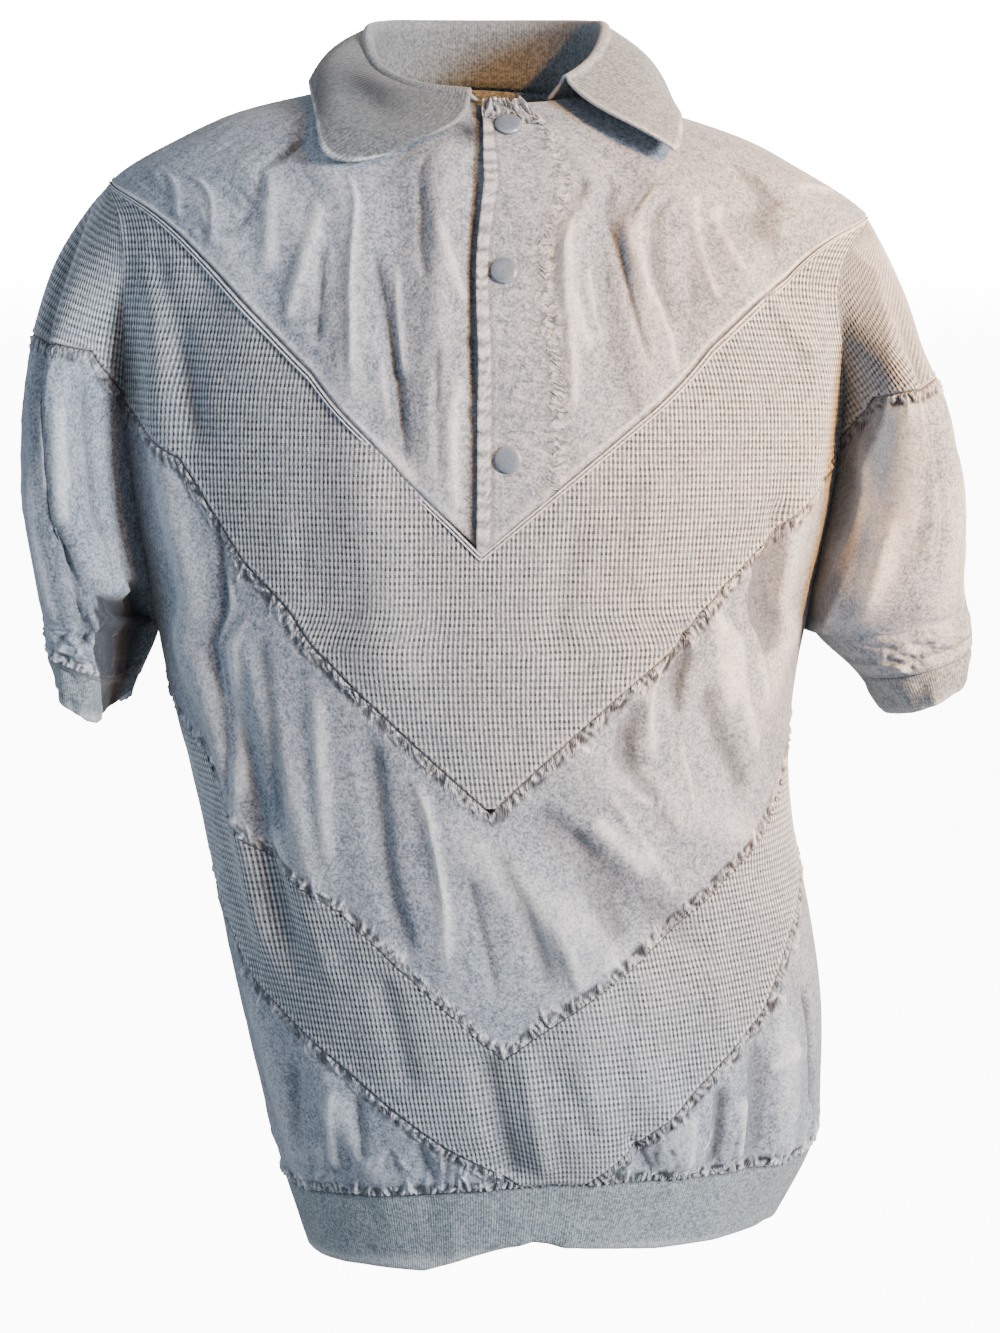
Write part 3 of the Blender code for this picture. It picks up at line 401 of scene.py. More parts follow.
def seam_run(name, across):
    """Length along a seam at this across."""
    place, level = np.array(SEAMS[name], float).T
    run = np.concatenate([[0.0], np.cumsum(np.hypot(np.diff(place), np.diff(level)))])
    return np.interp(across, place, run)


def seam_away(name, across, level):
    """Square distance of pattern points above a seam (below it where negative)."""
    return (level - seam_level(name, across)) / np.sqrt(1 + seam_slope(name, across) ** 2)


def folds(across, level, face):
    """The model's soft folds."""
    height = np.zeros(np.shape(across))
    for side, x0, y0, x1, y1, width, high in FOLDS:
        dx, dy = x1 - x0, y1 - y0
        long = sqrt(dx * dx + dy * dy)
        t = ((across - x0) * dx + (level - y0) * dy) / long
        away = ((across - x0) * dy - (level - y0) * dx) / long
        away = away + 0.12 * width * np.sin(t / 31.0)
        ends = ramp(t, -FOLD_END, FOLD_END) * (1 - ramp(t, long - FOLD_END, long + FOLD_END))
        height = height + np.where(face == side, high * ends * bell(away, 0, width), 0.0)
    from_shoulder = np.hypot(np.abs(across) - SIDE, level - SHOULDER_POINT)
    return height * ramp(from_shoulder, 25, 80)


def slopes(function, across, level, face):
    """A surface and its outward direction, from points on the same side of the armhole."""
    step = 0.6
    away = np.where(np.abs(across) > SIDE, 1.0, -1.0) * np.where(across < 0, -1.0, 1.0) * step
    here = function(across, level, face)
    along = (function(across + away, level, face) - here) / away[..., None]
    up = function(across, level + step, face) - function(across, level - step, face)
    out = np.cross(along, up) * -np.asarray(face, float)[..., None]
    return here, out / np.maximum(np.linalg.norm(out, axis=-1, keepdims=True), 1e-9)


def folded(across, level, face):
    place, out = slopes(form, across, level, face)
    return place + out * folds(across, level, face)[..., None]


# ------------------------------------------------------------ fine form
def softened(line):
    """A line with its corners cut."""
    points = [np.array(point, float) for point in line]
    for _ in range(CORNER_CUTS):
        if len(points) > 2:
            cut = [points[0]]
            for a, b in zip(points, points[1:]):
                cut += [0.75 * a + 0.25 * b, 0.25 * a + 0.75 * b]
            points = cut + [points[-1]]
    return points


def line_distance(across, level, points):
    """Distance from a line, and the share of it that lies behind the nearest place."""
    best, run, total = np.full(across.shape, 1e9), np.zeros(across.shape), 0.0
    for a, b in zip(points, points[1:]):
        dx, dy = b - a
        long = max(np.hypot(dx, dy), 1e-6)
        t = np.clip(((across - a[0]) * dx + (level - a[1]) * dy) / long ** 2, 0, 1)
        away = np.hypot(across - a[0] - t * dx, level - a[1] - t * dy)
        run = np.where(away < best, total + t * long, run)
        best = np.minimum(away, best)
        total += long
    return best, run / total


def creases(across, level, face):
    """The listed creases; narrow ones have a sharp crest."""
    height = np.zeros(across.shape)
    for side, width, high, *line in CREASES:
        points = softened(line)
        low, top = np.min(points, axis=0) - 3.2 * width, np.max(points, axis=0) + 3.2 * width
        near = (face == side) & (across > low[0]) & (across < top[0]) & (level > low[1]) & (level < top[1])
        if not near.any():
            continue
        away, run = line_distance(across[near], level[near], points)
        ends = ramp(run, 0.0, 0.18) * (1 - ramp(run, 0.82, 1.0))
        soft = bell(away, 0, width)
        sharp = np.exp(-1.3 * away / width)
        height[near] += high * ends * (soft if width > 5 else 0.45 * soft + 0.65 * sharp)
    return height


def crumple(across, level, box, count, seed, lean, spread, length, width, high):
    """Small random ridges and troughs inside a box (left, right, bottom, top) of the pattern."""
    rng = np.random.default_rng(seed)
    height = np.zeros(across.shape)
    inside = (across > box[0] - 12) & (across < box[1] + 12) & (level > box[2] - 12) & (level < box[3] + 12)
    if not inside.any():
        return height
    x, y, found = across[inside], level[inside], np.zeros(inside.sum())
    for _ in range(count):
        cx, cy = rng.uniform(box[0], box[1]), rng.uniform(box[2], box[3])
        angle = radians(rng.normal(lean, spread))
        long, wide = rng.uniform(*length), rng.uniform(*width)
        tall = rng.choice((-1.0, 1.0)) * rng.uniform(0.4, 1.0) * high
        near = (np.abs(x - cx) < long) & (np.abs(y - cy) < long)
        if not near.any():
            continue
        dx, dy = x[near] - cx, y[near] - cy
        t = dx * sin(angle) + dy * cos(angle)
        away = dx * cos(angle) - dy * sin(angle) + 0.0035 * t * t * rng.uniform(-1, 1) * 5
        found[near] += tall * np.exp(-(2.0 * t / long) ** 2 - (away / wide) ** 2)
    height[inside] = found
    return height


def puckers(across, level, name, side, seed, high):
    """Short uneven ridges across a gathered seam, on its upper (+1) or lower (-1) side."""
    rng = np.random.default_rng(seed)
    away = seam_away(name, across, level) * side
    height = np.zeros(across.shape)
    near_seam = (away > -1.5) & (away < 24)
    if not near_seam.any():
        return height
    x, y, off = across[near_seam], level[near_seam], away[near_seam]
    found, end = np.zeros(x.shape), SIDE + ARM
    place = -end
    while place < end:
        slope = float(seam_slope(name, place))
        place += PUCKER_PITCH * rng.uniform(0.55, 1.5) / sqrt(1 + slope * slope)
        cy = float(seam_level(name, place))
        normal = np.array([-slope, 1.0]) / sqrt(1 + slope * slope) * side
        tilt = radians(rng.normal(0, 27))
        way = np.array([normal[0] * cos(tilt) - normal[1] * sin(tilt),
                        normal[0] * sin(tilt) + normal[1] * cos(tilt)])
        long = rng.uniform(*PUCKER_REACH) * (1.6 if rng.random() < 0.18 else 1.0)
        wide = rng.uniform(0.85, 1.3)
        tall, hook = high * rng.uniform(0.5, 1.3), rng.uniform(-0.10, 0.10)
        close = np.abs(x - place) < long + 8
        dx, dy = x[close] - place, y[close] - cy
        t = dx * way[0] + dy * way[1]
        cross = -dx * way[1] + dy * way[0] + hook * t * t * 0.5
        rise = ramp(t, -0.4, 1.5) * (1 - ramp(t, 0.45 * long, long))
        found[close] = np.maximum(found[close], tall * rise * bell(cross, 0, wide))
    # short links turn some ridges into loops
    for _ in range(int(2 * end / LINK_PITCH)):
        place, long = rng.uniform(-end, end), rng.uniform(2.5, 5.5)
        out, close = rng.uniform(2.5, 7), np.abs(x - place) < 10
        dx = x[close] - place
        link = 0.8 * high * np.exp(-(dx / long * 1.6) ** 2 - ((off[close] - out - 0.15 * dx) / 0.95) ** 2)
        found[close] = np.maximum(found[close], link)
    base = 0.45 * high * ramp(off, -0.5, 1.5) * (1 - ramp(off, 4, 11))
    height[near_seam] = (found - base) * ramp(off, -0.3, 1.0)
    return height


def knit(u, v):
    """Height of the waffle, from 0 in a pit to 1 on a wale; u counts wales, v courses."""
    wale = 0.5 + 0.5 * np.cos(2 * pi * u)
    course = 0.72 * (0.5 + 0.5 * np.cos(2 * pi * v))
    return 1 - (1 - wale) * (1 - course)


def edge_fade(across):
    """Fine form dies out at side seams, sleeve tops and in the armhole."""
    reach = np.abs(across)
    return ramp(np.abs(reach - SIDE), 0, 6) * ramp(SIDE + ARM - reach, 0, 6)


def underfold(across, level):
    """1 where the front of the left sleeve is folded under."""
    inside = (across < -SIDE) & (across > -SIDE - ARM)
    folded_in = ramp(across - line_at(UNDERFOLD, level), -1.0, 2.0) * ramp(-level, 288, 292)
    return folded_in * inside * ramp(-SIDE - across, 1, 16)


def hollow(across, level):
    """1 on the right sleeve where a painted shadow of the body lies beside it."""
    return ramp(line_at(SHADOW_BESIDE_BODY, level) - across, -1.5, 4.0) * (across > SIDE)


# ------------------------------------------------------------ cutting and draping
def flat_grid(bm, across, level, face=FRONT):
    """Add a grid to the pattern whose points are two arrays, rows from the top down."""
    ny, nx = int(across.shape[0] - 1), int(across.shape[1] - 1)
    made = bmesh.ops.create_grid(bm, x_segments=nx, y_segments=ny, size=0.5)["verts"]
    for vert in made:
        i, j = round((vert.co.x + 0.5) * nx), round((0.5 - vert.co.y) * ny)
        vert.co = (across[j, i], level[j, i], 10.0 * face)
    if face == BACK:
        bmesh.ops.reverse_faces(bm, faces=list({f for v in made for f in v.link_faces}))


def columns(start, end, cell):
    return np.linspace(start, end, max(2, round((end - start) / cell) + 1))


def ladder(top, bottom, count, near_top=False, near_bottom=False):
    """Levels from one seam down to the next, closer beside a gathered one."""
    tall = top - bottom
    near = np.array(NEAR_SEAM)[:, None] * np.minimum(1.0, tall / 48.0)
    above = near if near_top else np.zeros((1, len(top)))
    below = tall - near[::-1] if near_bottom else tall[None]
    share = (np.arange(1, count) / count)[:, None]
    inner = above[-1] + (below[0] - above[-1]) * share
    return top - np.concatenate([above, inner, below])


def woven_block(bm, xs, steps, face=FRONT):
    """Add a panel's grid: steps lists (top seam, bottom seam, rows, near the top, near the bottom)."""
    parts = [ladder(seam_level(top, xs), seam_level(bottom, xs), count, *near)
             for top, bottom, count, *near in steps]
    level = np.concatenate([parts[0]] + [part[1:] for part in parts[1:]])
    flat_grid(bm, np.broadcast_to(xs, level.shape), level, face)


def waffle_block(bm, top, bottom, left, right, lean=0.0, about=0.0):
    """Add a grid on the waffle's own cells, turned by lean about a side seam, clipped to its seams."""
    turn = radians(lean)
    xs = np.linspace(left, right, 60)
    low, high = float(np.min(seam_level(bottom, xs))), float(np.max(seam_level(top, xs)))
    corners = np.array([(x - about, y) for x in (left, right) for y in (low, high)])
    p = corners[:, 0] * cos(turn) + corners[:, 1] * sin(turn)
    q = -corners[:, 0] * sin(turn) + corners[:, 1] * cos(turn)
    half_wale, half_course = WALE / 2, COURSE / 2
    ps = np.arange(np.floor(p.min() / half_wale), np.ceil(p.max() / half_wale) + 1) * half_wale
    qs = np.arange(np.ceil(q.max() / half_course), np.floor(q.min() / half_course) - 1, -1) * half_course
    p, q = np.meshgrid(ps, qs)
    across = np.clip(about + p * cos(turn) - q * sin(turn), left, right)
    level = np.clip(p * sin(turn) + q * cos(turn), seam_level(bottom, across), seam_level(top, across))
    first = set(bm.faces)
    flat_grid(bm, across, level)
    flat = [f for f in bm.faces if f not in first and f.calc_area() < 0.03]
    bmesh.ops.delete(bm, geom=flat, context="FACES")


def wales(across, level):
    """Wale and course counts at pattern points; the knit turns on the sleeves."""
    u, v = across / WALE, level / COURSE
    for side, lean in zip((-1, 1), LEAN):
        turn, x = radians(lean), across - side * SIDE
        on_arm = across * side > SIDE
        u = np.where(on_arm, (x * cos(turn) + level * sin(turn)) / WALE, u)
        v = np.where(on_arm, (-x * sin(turn) + level * cos(turn)) / COURSE, v)
    return u, v


def mesh_points(mesh):
    flat = np.empty(len(mesh.vertices) * 3)
    mesh.vertices.foreach_get("co", flat)
    return flat.reshape(-1, 3)


def add_uv(mesh, name, u, v):
    index = np.empty(len(mesh.loops), dtype=np.int32)
    mesh.loops.foreach_get("vertex_index", index)
    layer = mesh.uv_layers.new(name=name)
    layer.data.foreach_set("uv", np.stack([u[index], v[index]], -1).astype(np.float32).ravel())


def add_values(mesh, **values):
    for name, value in values.items():
        layer = mesh.attributes.new(name, "FLOAT", "POINT")
        layer.data.foreach_set("value", np.broadcast_to(np.asarray(value, np.float32), len(mesh.vertices)))


def finish_piece(name, mesh, finish, node, join, wall=0, offset=-1.0):
    """Close a mesh's seams, give it its wall, and put it in the scene for the model's node."""
    bm = bmesh.new()
    bm.from_mesh(mesh)
    bmesh.ops.remove_doubles(bm, verts=bm.verts[:], dist=join * MM)
    loose = [v for v in bm.verts if not v.link_faces]
    bmesh.ops.delete(bm, geom=loose, context="VERTS")
    bm.to_mesh(mesh)
    bm.free()
    mesh.shade_smooth()
    mesh.materials.append(finish_of(finish))
    piece = add_object(name, mesh)
    if wall:
        solid = piece.modifiers.new("wall", "SOLIDIFY")
        solid.thickness, solid.offset = wall * MM, offset
    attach(piece, "root")
    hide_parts(node)
    return piece


def drape(name, bm, relief, finish, wall=1.3, join=0.06, weave=None, flat=None):
    """relief gives the fine height, the wear and painted highlight, the painted shade and dark seam lines, how
    crinkled the cloth is, and its place by a seam.
    """
    area = sum(f.calc_area() for f in bm.faces) * MM * MM
    mesh = bpy.data.meshes.new(name)
    bm.to_mesh(mesh)
    bm.free()
    across, level, z = mesh_points(mesh).T
    face = np.sign(z)
    height, worn, recess, crinkle, along, away = relief(across, level, face)
    place, out = slopes(folded, across, level, face)
    place = place + out * (height + WALL / 2)[:, None]
    mesh.vertices.foreach_set("co", (place * MM).ravel())
    add_uv(mesh, "cut", *(weave(across, level) if weave else (across * MM, level * MM)))
    add_uv(mesh, "seam", along * MM, away * MM)
    add_values(mesh, worn=worn, recess=recess, crinkle=crinkle)
    piece = finish_piece("cloth_" + name, mesh, finish, name, join, wall)
    width, length = flat or ((1 + (np.ptp(face) > 0)) * np.ptp(across) * MM, np.ptp(level) * MM)
    box = width * length
    area = STRIP_SHARE * box if flat else min(max(area, LEAST_SHARE * box), box)


def shades(fine, broad):
    """Pale and dark cloth from its fine height and its broad folds: rubbed pale and painted highlight on ridges,
    painted shade in troughs.
    """
    worn = np.maximum(0.62 * ramp(fine, 0.3, 2.4), 0.32 * ramp(broad, 0.3, 5.0))
    recess = np.maximum(0.46 * ramp(-fine, 0.3, 2.8), 0.38 * ramp(-broad, 0.3, 4.5))
    return worn, recess


def nearest_seam(names, across, level):
    """Run along and distance from the nearest of some seams."""
    along, away = np.zeros(across.shape), np.full(across.shape, 1e3)
    for name in names:
        off = seam_away(name, across, level)
        run = seam_run(name, across) if isinstance(name, str) else across
        closer = np.abs(off) < np.abs(away)
        along, away = np.where(closer, run, along), np.where(closer, off, away)
    return along, away


# ------------------------------------------------------------ materials
class Nodes:
    """A node tree, with short ways to add to it."""

    def __init__(self, tree):
        self.tree = tree

    def put(self, value, socket):
        """Link a socket's value to this one, or set a plain value."""
        if isinstance(value, bpy.types.NodeSocket):
            self.tree.links.new(value, socket)
        else:
            socket.default_value = value

    def add(self, kind, inputs=None, **settings):
        made = self.tree.nodes.new("ShaderNode" + kind)
        for key, value in settings.items():
            setattr(made, key, value)
        for key, value in (inputs or {}).items():
            self.put(value, made.inputs[key])
        return made.outputs

    def maths(self, operation, *values):
        return self.add("Math", dict(enumerate(values)), operation=operation)[0]

    def times(self, a, b):
        return self.maths("MULTIPLY", a, b)

    def times_plus(self, a, b, c):
        return self.maths("MULTIPLY_ADD", a, b, c)

    def most(self, *values):
        return reduce(lambda a, b: self.maths("MAXIMUM", a, b), values)

    def wave(self, value, turn):
        return self.maths("COSINE", self.times(value, turn))

    def smooth(self, value, low, high, start=0.0, end=1.0):
        return self.add("MapRange", {0: value, 1: low, 2: high, 3: start, 4: end},
                        interpolation_type="SMOOTHSTEP")[0]

    def mix(self, factor, a, b):
        return self.add("Mix", {0: factor, 6: a, 7: b}, data_type="RGBA")[2]

    def noise(self, vector, scale, detail=3.0, rough=0.6):
        return self.add("TexNoise", {"Vector": vector, "Scale": scale, "Detail": detail, "Roughness": rough})[0]

    def bump(self, height, strength, distance, under=None):
        inputs = {"Height": height, "Strength": strength, "Distance": distance}
        return self.add("Bump", {**inputs, "Normal": under} if under is not None else inputs)[0]

    def attribute(self, name):
        return self.add("Attribute", attribute_name=name)["Fac"]

    def uv(self, name):
        return self.add("SeparateXYZ", {0: self.add("UVMap", uv_map=name)[0]})

    def vector(self, x, y):
        return self.add("CombineXYZ", {0: x, 1: y, 2: 0.0})[0]

    def effect(self, build, inputs):
        """Place a shared node group, which is built when it is first used."""
        group = bpy.data.node_groups.get(build.__name__) or build()
        return self.add("Group", inputs, node_tree=group)


def effect_tree(name, inputs, outputs):
    """A shader node group with named sockets: its nodes, what it takes and what it gives."""
    tree = bpy.data.node_groups.new(name, "ShaderNodeTree")
    for way, sockets in (("INPUT", inputs), ("OUTPUT", outputs)):
        for label, kind in sockets.items():
            tree.interface.new_socket(name=label, in_out=way, socket_type="NodeSocket" + kind)
    return Nodes(tree), tree.nodes.new("NodeGroupInput").outputs, tree.nodes.new("NodeGroupOutput").inputs


def stonewash():
    """Mottled grain of washed cotton: fine specks, small blotches and broad clouds."""
    n, take, give = effect_tree("stonewash", {"Vector": "Vector", "Speck Scale": "Float"},
                                {"Tone": "Float", "Grain": "Float"})
    specks = n.noise(take["Vector"], take["Speck Scale"], 4.0, 0.7)
    blotch = n.noise(take["Vector"], 210.0, 3.0, 0.65)
    cloud = n.noise(take["Vector"], 26.0, 3.0, 0.55)
    tone = n.times_plus(n.smooth(specks, 0.37, 0.63), 0.60, n.times(n.smooth(blotch, 0.34, 0.68), 0.26))
    n.put(n.times_plus(n.smooth(cloud, 0.30, 0.72), 0.14, tone), give["Tone"])
    n.put(n.times_plus(specks, 0.7, n.times(blotch, 0.6)), give["Grain"])
    return n.tree


def worn_colour():
    """Colour of cloth: base by its tone, pale where ridges are rubbed and where highlight is painted, dark where
    shade is painted and along dark seam lines.
    """
    n, take, give = effect_tree(
        "worn_colour", {"Tone": "Float", "Deep": "Color", "Pale": "Color", "Wear And Highlight Colour": "Color",
                        "Shade And Seams Colour": "Color", "Wear And Highlight": "Float", "Shade And Seams": "Float"}, {"Color": "Color"})
    colour = n.mix(take["Tone"], take["Deep"], take["Pale"])
    rubbed = n.times_plus(take["Tone"], 0.5, 0.45)
    colour = n.mix(n.times(take["Wear And Highlight"], rubbed), colour, take["Wear And Highlight Colour"])
    n.put(n.mix(take["Shade And Seams"], colour, take["Shade And Seams Colour"]), give["Color"])
    return n.tree


def seam_crinkle():
    """Fine crinkles that run square to a puckered seam, with their height and their shade."""
    n, take, give = effect_tree("seam_crinkle", {"Along": "Float", "Away": "Float", "Amount": "Float"},
                                {"Height": "Float", "Shade": "Float"})
    warp = n.noise(n.vector(take["Along"], take["Away"]), 90.0, 2.0)
    sway = n.times_plus(warp, 0.011, take["Along"])
    lines = n.noise(n.vector(n.times(sway, 330.0), n.times(take["Away"], 75.0)), 1.0, 2.0, 0.5)
    n.put(n.times(n.smooth(lines, 0.36, 0.64), take["Amount"]), give["Height"])
    n.put(n.times(n.smooth(lines, 0.55, 0.36), take["Amount"]), give["Shade"])
    return n.tree


class Finish(Nodes):
    """One material of the shirt or the stage."""

    def __init__(self, name, roughness, sheen=0.25, coat=0.0, specular=0.25):
        self.material = bpy.data.materials.new(name)
        self.material.use_nodes = True
        super().__init__(self.material.node_tree)
        self.shader = self.tree.nodes["Principled BSDF"].inputs
        self.spot = self.add("TexCoord")["Object"]
        for label, value in (("Roughness", roughness), ("Sheen Weight", sheen), ("Sheen Roughness", 0.5),
                             ("Coat Weight", coat), ("Specular IOR Level", specular)):
            self.shader[label].default_value = value

    def wash(self, speck):
        return self.effect(stonewash, {"Vector": self.spot, "Speck Scale": speck})

    def colour(self, cloth, tone, worn, recess, rubbed="worn_colour"):
        """Base colour from the cloth's own two shades, with its wear and painted highlight, and its painted shade
        and dark seam lines.
        """
        look = bpy.context.scene.shirt_finish
        shades_of = {"Deep": cloth + "_deep", "Pale": cloth + "_pale", "Wear And Highlight Colour": rubbed,
                     "Shade And Seams Colour": "recess_colour"}
        inputs = {label: (*getattr(look, prop), 1.0) for label, prop in shades_of.items()}
        made = self.effect(worn_colour, {**inputs, "Tone": tone, "Wear And Highlight": worn, "Shade And Seams": recess})
        self.put(made[0], self.shader["Base Color"])

    def relief(self, *layers):
        """Bump from layers of (height, strength, distance), each on the one before."""
        self.put(reduce(lambda under, layer: self.bump(*layer, under), layers, None), self.shader["Normal"])


def washed_cotton():
    n = Finish("cotton_stonewashed", 0.86)
    wash, seam = n.wash(620.0), n.uv("seam")
    crinkle = n.effect(seam_crinkle, {"Along": seam[0], "Away": seam[1], "Amount": n.attribute("crinkle")})
    # crinkle tops are paler, with painted shade between the crinkles
    n.colour("cloth", wash["Tone"], n.most(n.attribute("worn"), n.times(crinkle["Height"], 0.55)),
             n.most(n.attribute("recess"), n.times(crinkle["Shade"], 0.45)))
    n.put(n.smooth(wash["Tone"], 0.0, 1.0, 0.78, 0.95), n.shader["Roughness"])
    n.relief((wash["Grain"], 0.7, 0.0006), (crinkle["Height"], 1.0, 0.0016))
    return n.material


def waffle_knit():
    n = Finish("waffle_yarn", 0.92)
    wash, cell = n.wash(800.0), n.uv("cut")
    wobble = n.times_plus(n.noise(n.spot, 160.0, 2.0), 0.22, -0.11)
    across, along = n.maths("ADD", cell[0], wobble), n.maths("ADD", cell[1], wobble)
    from_wale, from_course = (n.times_plus(n.wave(count, 2 * pi), -0.5, 0.5) for count in (across, along))
    gap = n.smooth(from_wale, 0.25, 0.72)
    uneven = n.smooth(n.noise(n.spot, 150.0, 2.0), 0.3, 0.65, 0.62, 1.0)
    pit = n.times(n.times(gap, n.smooth(from_course, 0.30, 0.78)), uneven)
    # pale yarn on the wales, palest where a bar crosses them, both wear and painted highlight; painted shade in the
    # pits and a grey line of painted shade between the wales
    rib = n.times(n.smooth(from_wale, 0.50, 0.08), n.smooth(from_course, 0.92, 0.25, 0.22, 0.98))
    n.colour("knit", wash["Tone"], n.most(n.times(rib, uneven), n.attribute("worn")),
             n.most(n.times(pit, 0.95), n.times(gap, 0.50), n.attribute("recess")))
    height = n.times_plus(n.wave(along, 8 * pi), 0.10, n.times(pit, -1.0))
    n.relief((wash["Grain"], 0.6, 0.0006), (height, 0.8, 0.0007))
    return n.material


def rib_knit():
    n = Finish("rib_yarn", 0.9)
    wash, cell = n.wash(1100.0), n.uv("cut")
    rib, stitch = n.wave(cell[0], 2 * pi / RIB), n.wave(cell[1], 2 * pi / STITCH)
    fleck = n.smooth(n.noise(n.spot, 520.0, 3.0, 0.7), 0.40, 0.60)
    # painted shade in the grooves between the ribs
    groove = n.times(n.smooth(rib, -0.2, -1.0), 0.30)
    n.colour("rib", n.times_plus(fleck, 0.5, n.times(wash["Tone"], 0.5)), n.attribute("worn"),
             n.most(groove, n.attribute("recess")))
    n.relief((wash["Grain"], 0.5, 0.0005), (n.times_plus(stitch, 0.35, rib), 0.35, 0.0003))
    return n.material


def snap_enamel():
    n = Finish("snap_paint", 0.34, sheen=0.0, coat=0.25, specular=0.5)
    wash = n.wash(1400.0)
    n.colour("snap", wash["Tone"], n.attribute("worn"), n.times(n.attribute("recess"), 0.7), "snap_worn")
    n.put(n.smooth(wash["Tone"], 0.0, 1.0, 0.28, 0.45), n.shader["Roughness"])
    n.relief((wash["Grain"], 0.15, 0.0002))
    return n.material


FINISHES = {}


def finish_of(build):
    """A finish of the shirt, built once."""
    if build not in FINISHES:
        FINISHES[build] = build()
    return FINISHES[build]


# ------------------------------------------------------------ pieces
def yoke_left_edge(across, level, height, fine):
    """The left edge of the opening lies under the right one, dips, and is darkened by painted shade."""
    # painted shadow in the gap under the end of the left leaf
    gap = 0.95 * np.exp(-((across + 14) / 13) ** 2 - ((level + 24) / 9) ** 2)
    height = height - 2.6 * ramp(across, -26, -8)
    return height, fine, 0.0, most(0.5 * ramp(across, -12, -3), gap), 0.35 * bell(across, -8, 8), across + 8


def yoke_right_edge(across, level, height, fine):
    """The right edge is folded back and stitched, with ladder-like wear on the fold."""
    facing = 1 - ramp(across, 42, 47)
    stitch = bell(across, 6.6, 0.8)
    ladder_wear = 0.5 + 0.5 * np.sin(level / 1.35 + 2.2 * np.sin(level / 9.0))
    strip = 1 - ramp(across, 5.2, 6.6)
    line = crumple(across, level, (40, 52, -225, -12), 120, 21, 70, 38, (4, 9), (0.9, 1.6), 1.1)
    placket = crumple(across, level, (2, 44, -250, -20), 90, 22, 20, 50, (6, 16), (1.3, 2.6), 0.5)
    height = height * ramp(across, 2, 22) + 0.55 * facing
    height = height - 1.0 * stitch * (level < -34) + 0.30 * strip * ladder_wear + line + placket
    worn = most(strip * (0.30 + 0.55 * ladder_wear), 0.8 * bell(across, 8.2, 0.7))
    mark = 0.45 * ((across > 5) & (across < 42)) * bell(level, -187.0, 1.2)
    recess = most(0.8 * stitch, 0.55 * strip * (1 - ramp(ladder_wear, 0.05, 0.45)), mark)
    crinkle = 0.9 * bell(across, 46, 5) + 0.25 * facing
    return height, fine * ramp(across, 2, 22) + line + placket, worn, recess, crinkle, across - 46


def yoke(side):
    left = side == "left"
    xs = columns(-SIDE + GAP, LAP, 1.5) if left else columns(LAP_EDGE, SIDE - GAP, 1.5)
    box, seed = ((-240, -4, -240, -20), 11) if left else ((48, 240, -240, -20), 12)
    bm = bmesh.new()
    woven_block(bm, xs, [(-0.1, BINDING_END, 6), (BINDING_END, "yoke", 84)])
    high = bpy.context.scene.shirt_form.crease_height

    def relief(across, level, face):
        away = seam_away("yoke", across, level)
        loose = crumple(across, level, box, 230, seed, 5, 26, (9, 26), (1.6, 3.2), 0.62)
        fine = creases(across, level, face) * high + loose * ramp(away, 0, 4)
        # stretched tight against the cord
        fine = fine + 0.8 * bell(away, 3, 1.6) - 1.2 * bell(away, 0, 1.3)
        edge = yoke_left_edge if left else yoke_right_edge
        height, fine, rubbed, deep, crinkle, off = edge(across, level, fine * edge_fade(across), fine)
        # shades gives wear and painted highlight on ridges and painted shade in the troughs of creases and folds
        worn, recess = shades(fine, folds(across, level, face))
        # beside the cord: a dark line, then the pale rolled edge of the yoke
        worn = most(worn, 0.8 * bell(away, 3.1, 1.1), rubbed)
        return height, worn, most(recess, deep, 0.8 * bell(away, 0.8, 0.7)), crinkle, level, off

    drape("front_yoke_" + side, bm, relief, washed_cotton)


def waffle_chevron(name, top, bottom, arms):
    bm = bmesh.new()
    waffle_block(bm, top, bottom, -SIDE + GAP, SIDE - GAP)
    if arms:
        waffle_block(bm, top, bottom, -SIDE - ARM + GAP, -SIDE - GAP, LEAN[0], -SIDE)
        waffle_block(bm, top, bottom, SIDE + GAP, SIDE + ARM - GAP, LEAN[1], SIDE)
    bmesh.ops.remove_doubles(bm, verts=bm.verts[:], dist=0.3)
    high = bpy.context.scene.shirt_form.crease_height

    def relief(across, level, face):
        along, away = nearest_seam((top, bottom), across, level)
        loose = crumple(across, level, (-400, 400, -640, -70), 160, 31, 10, 30, (30, 60), (7, 13), 0.9)
        soft = creases(across, level, face) * high + loose * ramp(np.abs(away), 0, 8)
        free = ramp(np.abs(away), 0.8, 3.2) * edge_fade(across)
        below = seam_away(bottom, across, level)
        edge = 0.75 * bell(below, 1.7, 0.9) - 1.1 * bell(below, 0, 0.7)
        height = (soft + edge) * edge_fade(across) + KNIT_DEPTH * (knit(*wales(across, level)) - 1) * free
        broad = soft + folds(across, level, face)
        # painted highlight on fold ridges, painted shade in fold troughs and a painted shadow beside the body on
        # the right sleeve; a pale line and a dark line along the lower seam
        worn = most(bell(below, 1.7, 0.8), 0.30 * ramp(broad, 0.8, 5.0))
        recess = most(0.95 * bell(below, 0, 0.7), 0.42 * ramp(-broad, 0.8, 4.5), 0.50 * hollow(across, level))
        return height, worn, recess, 0.0, along, away

    drape(name, bm, relief, waffle_knit, weave=wales)


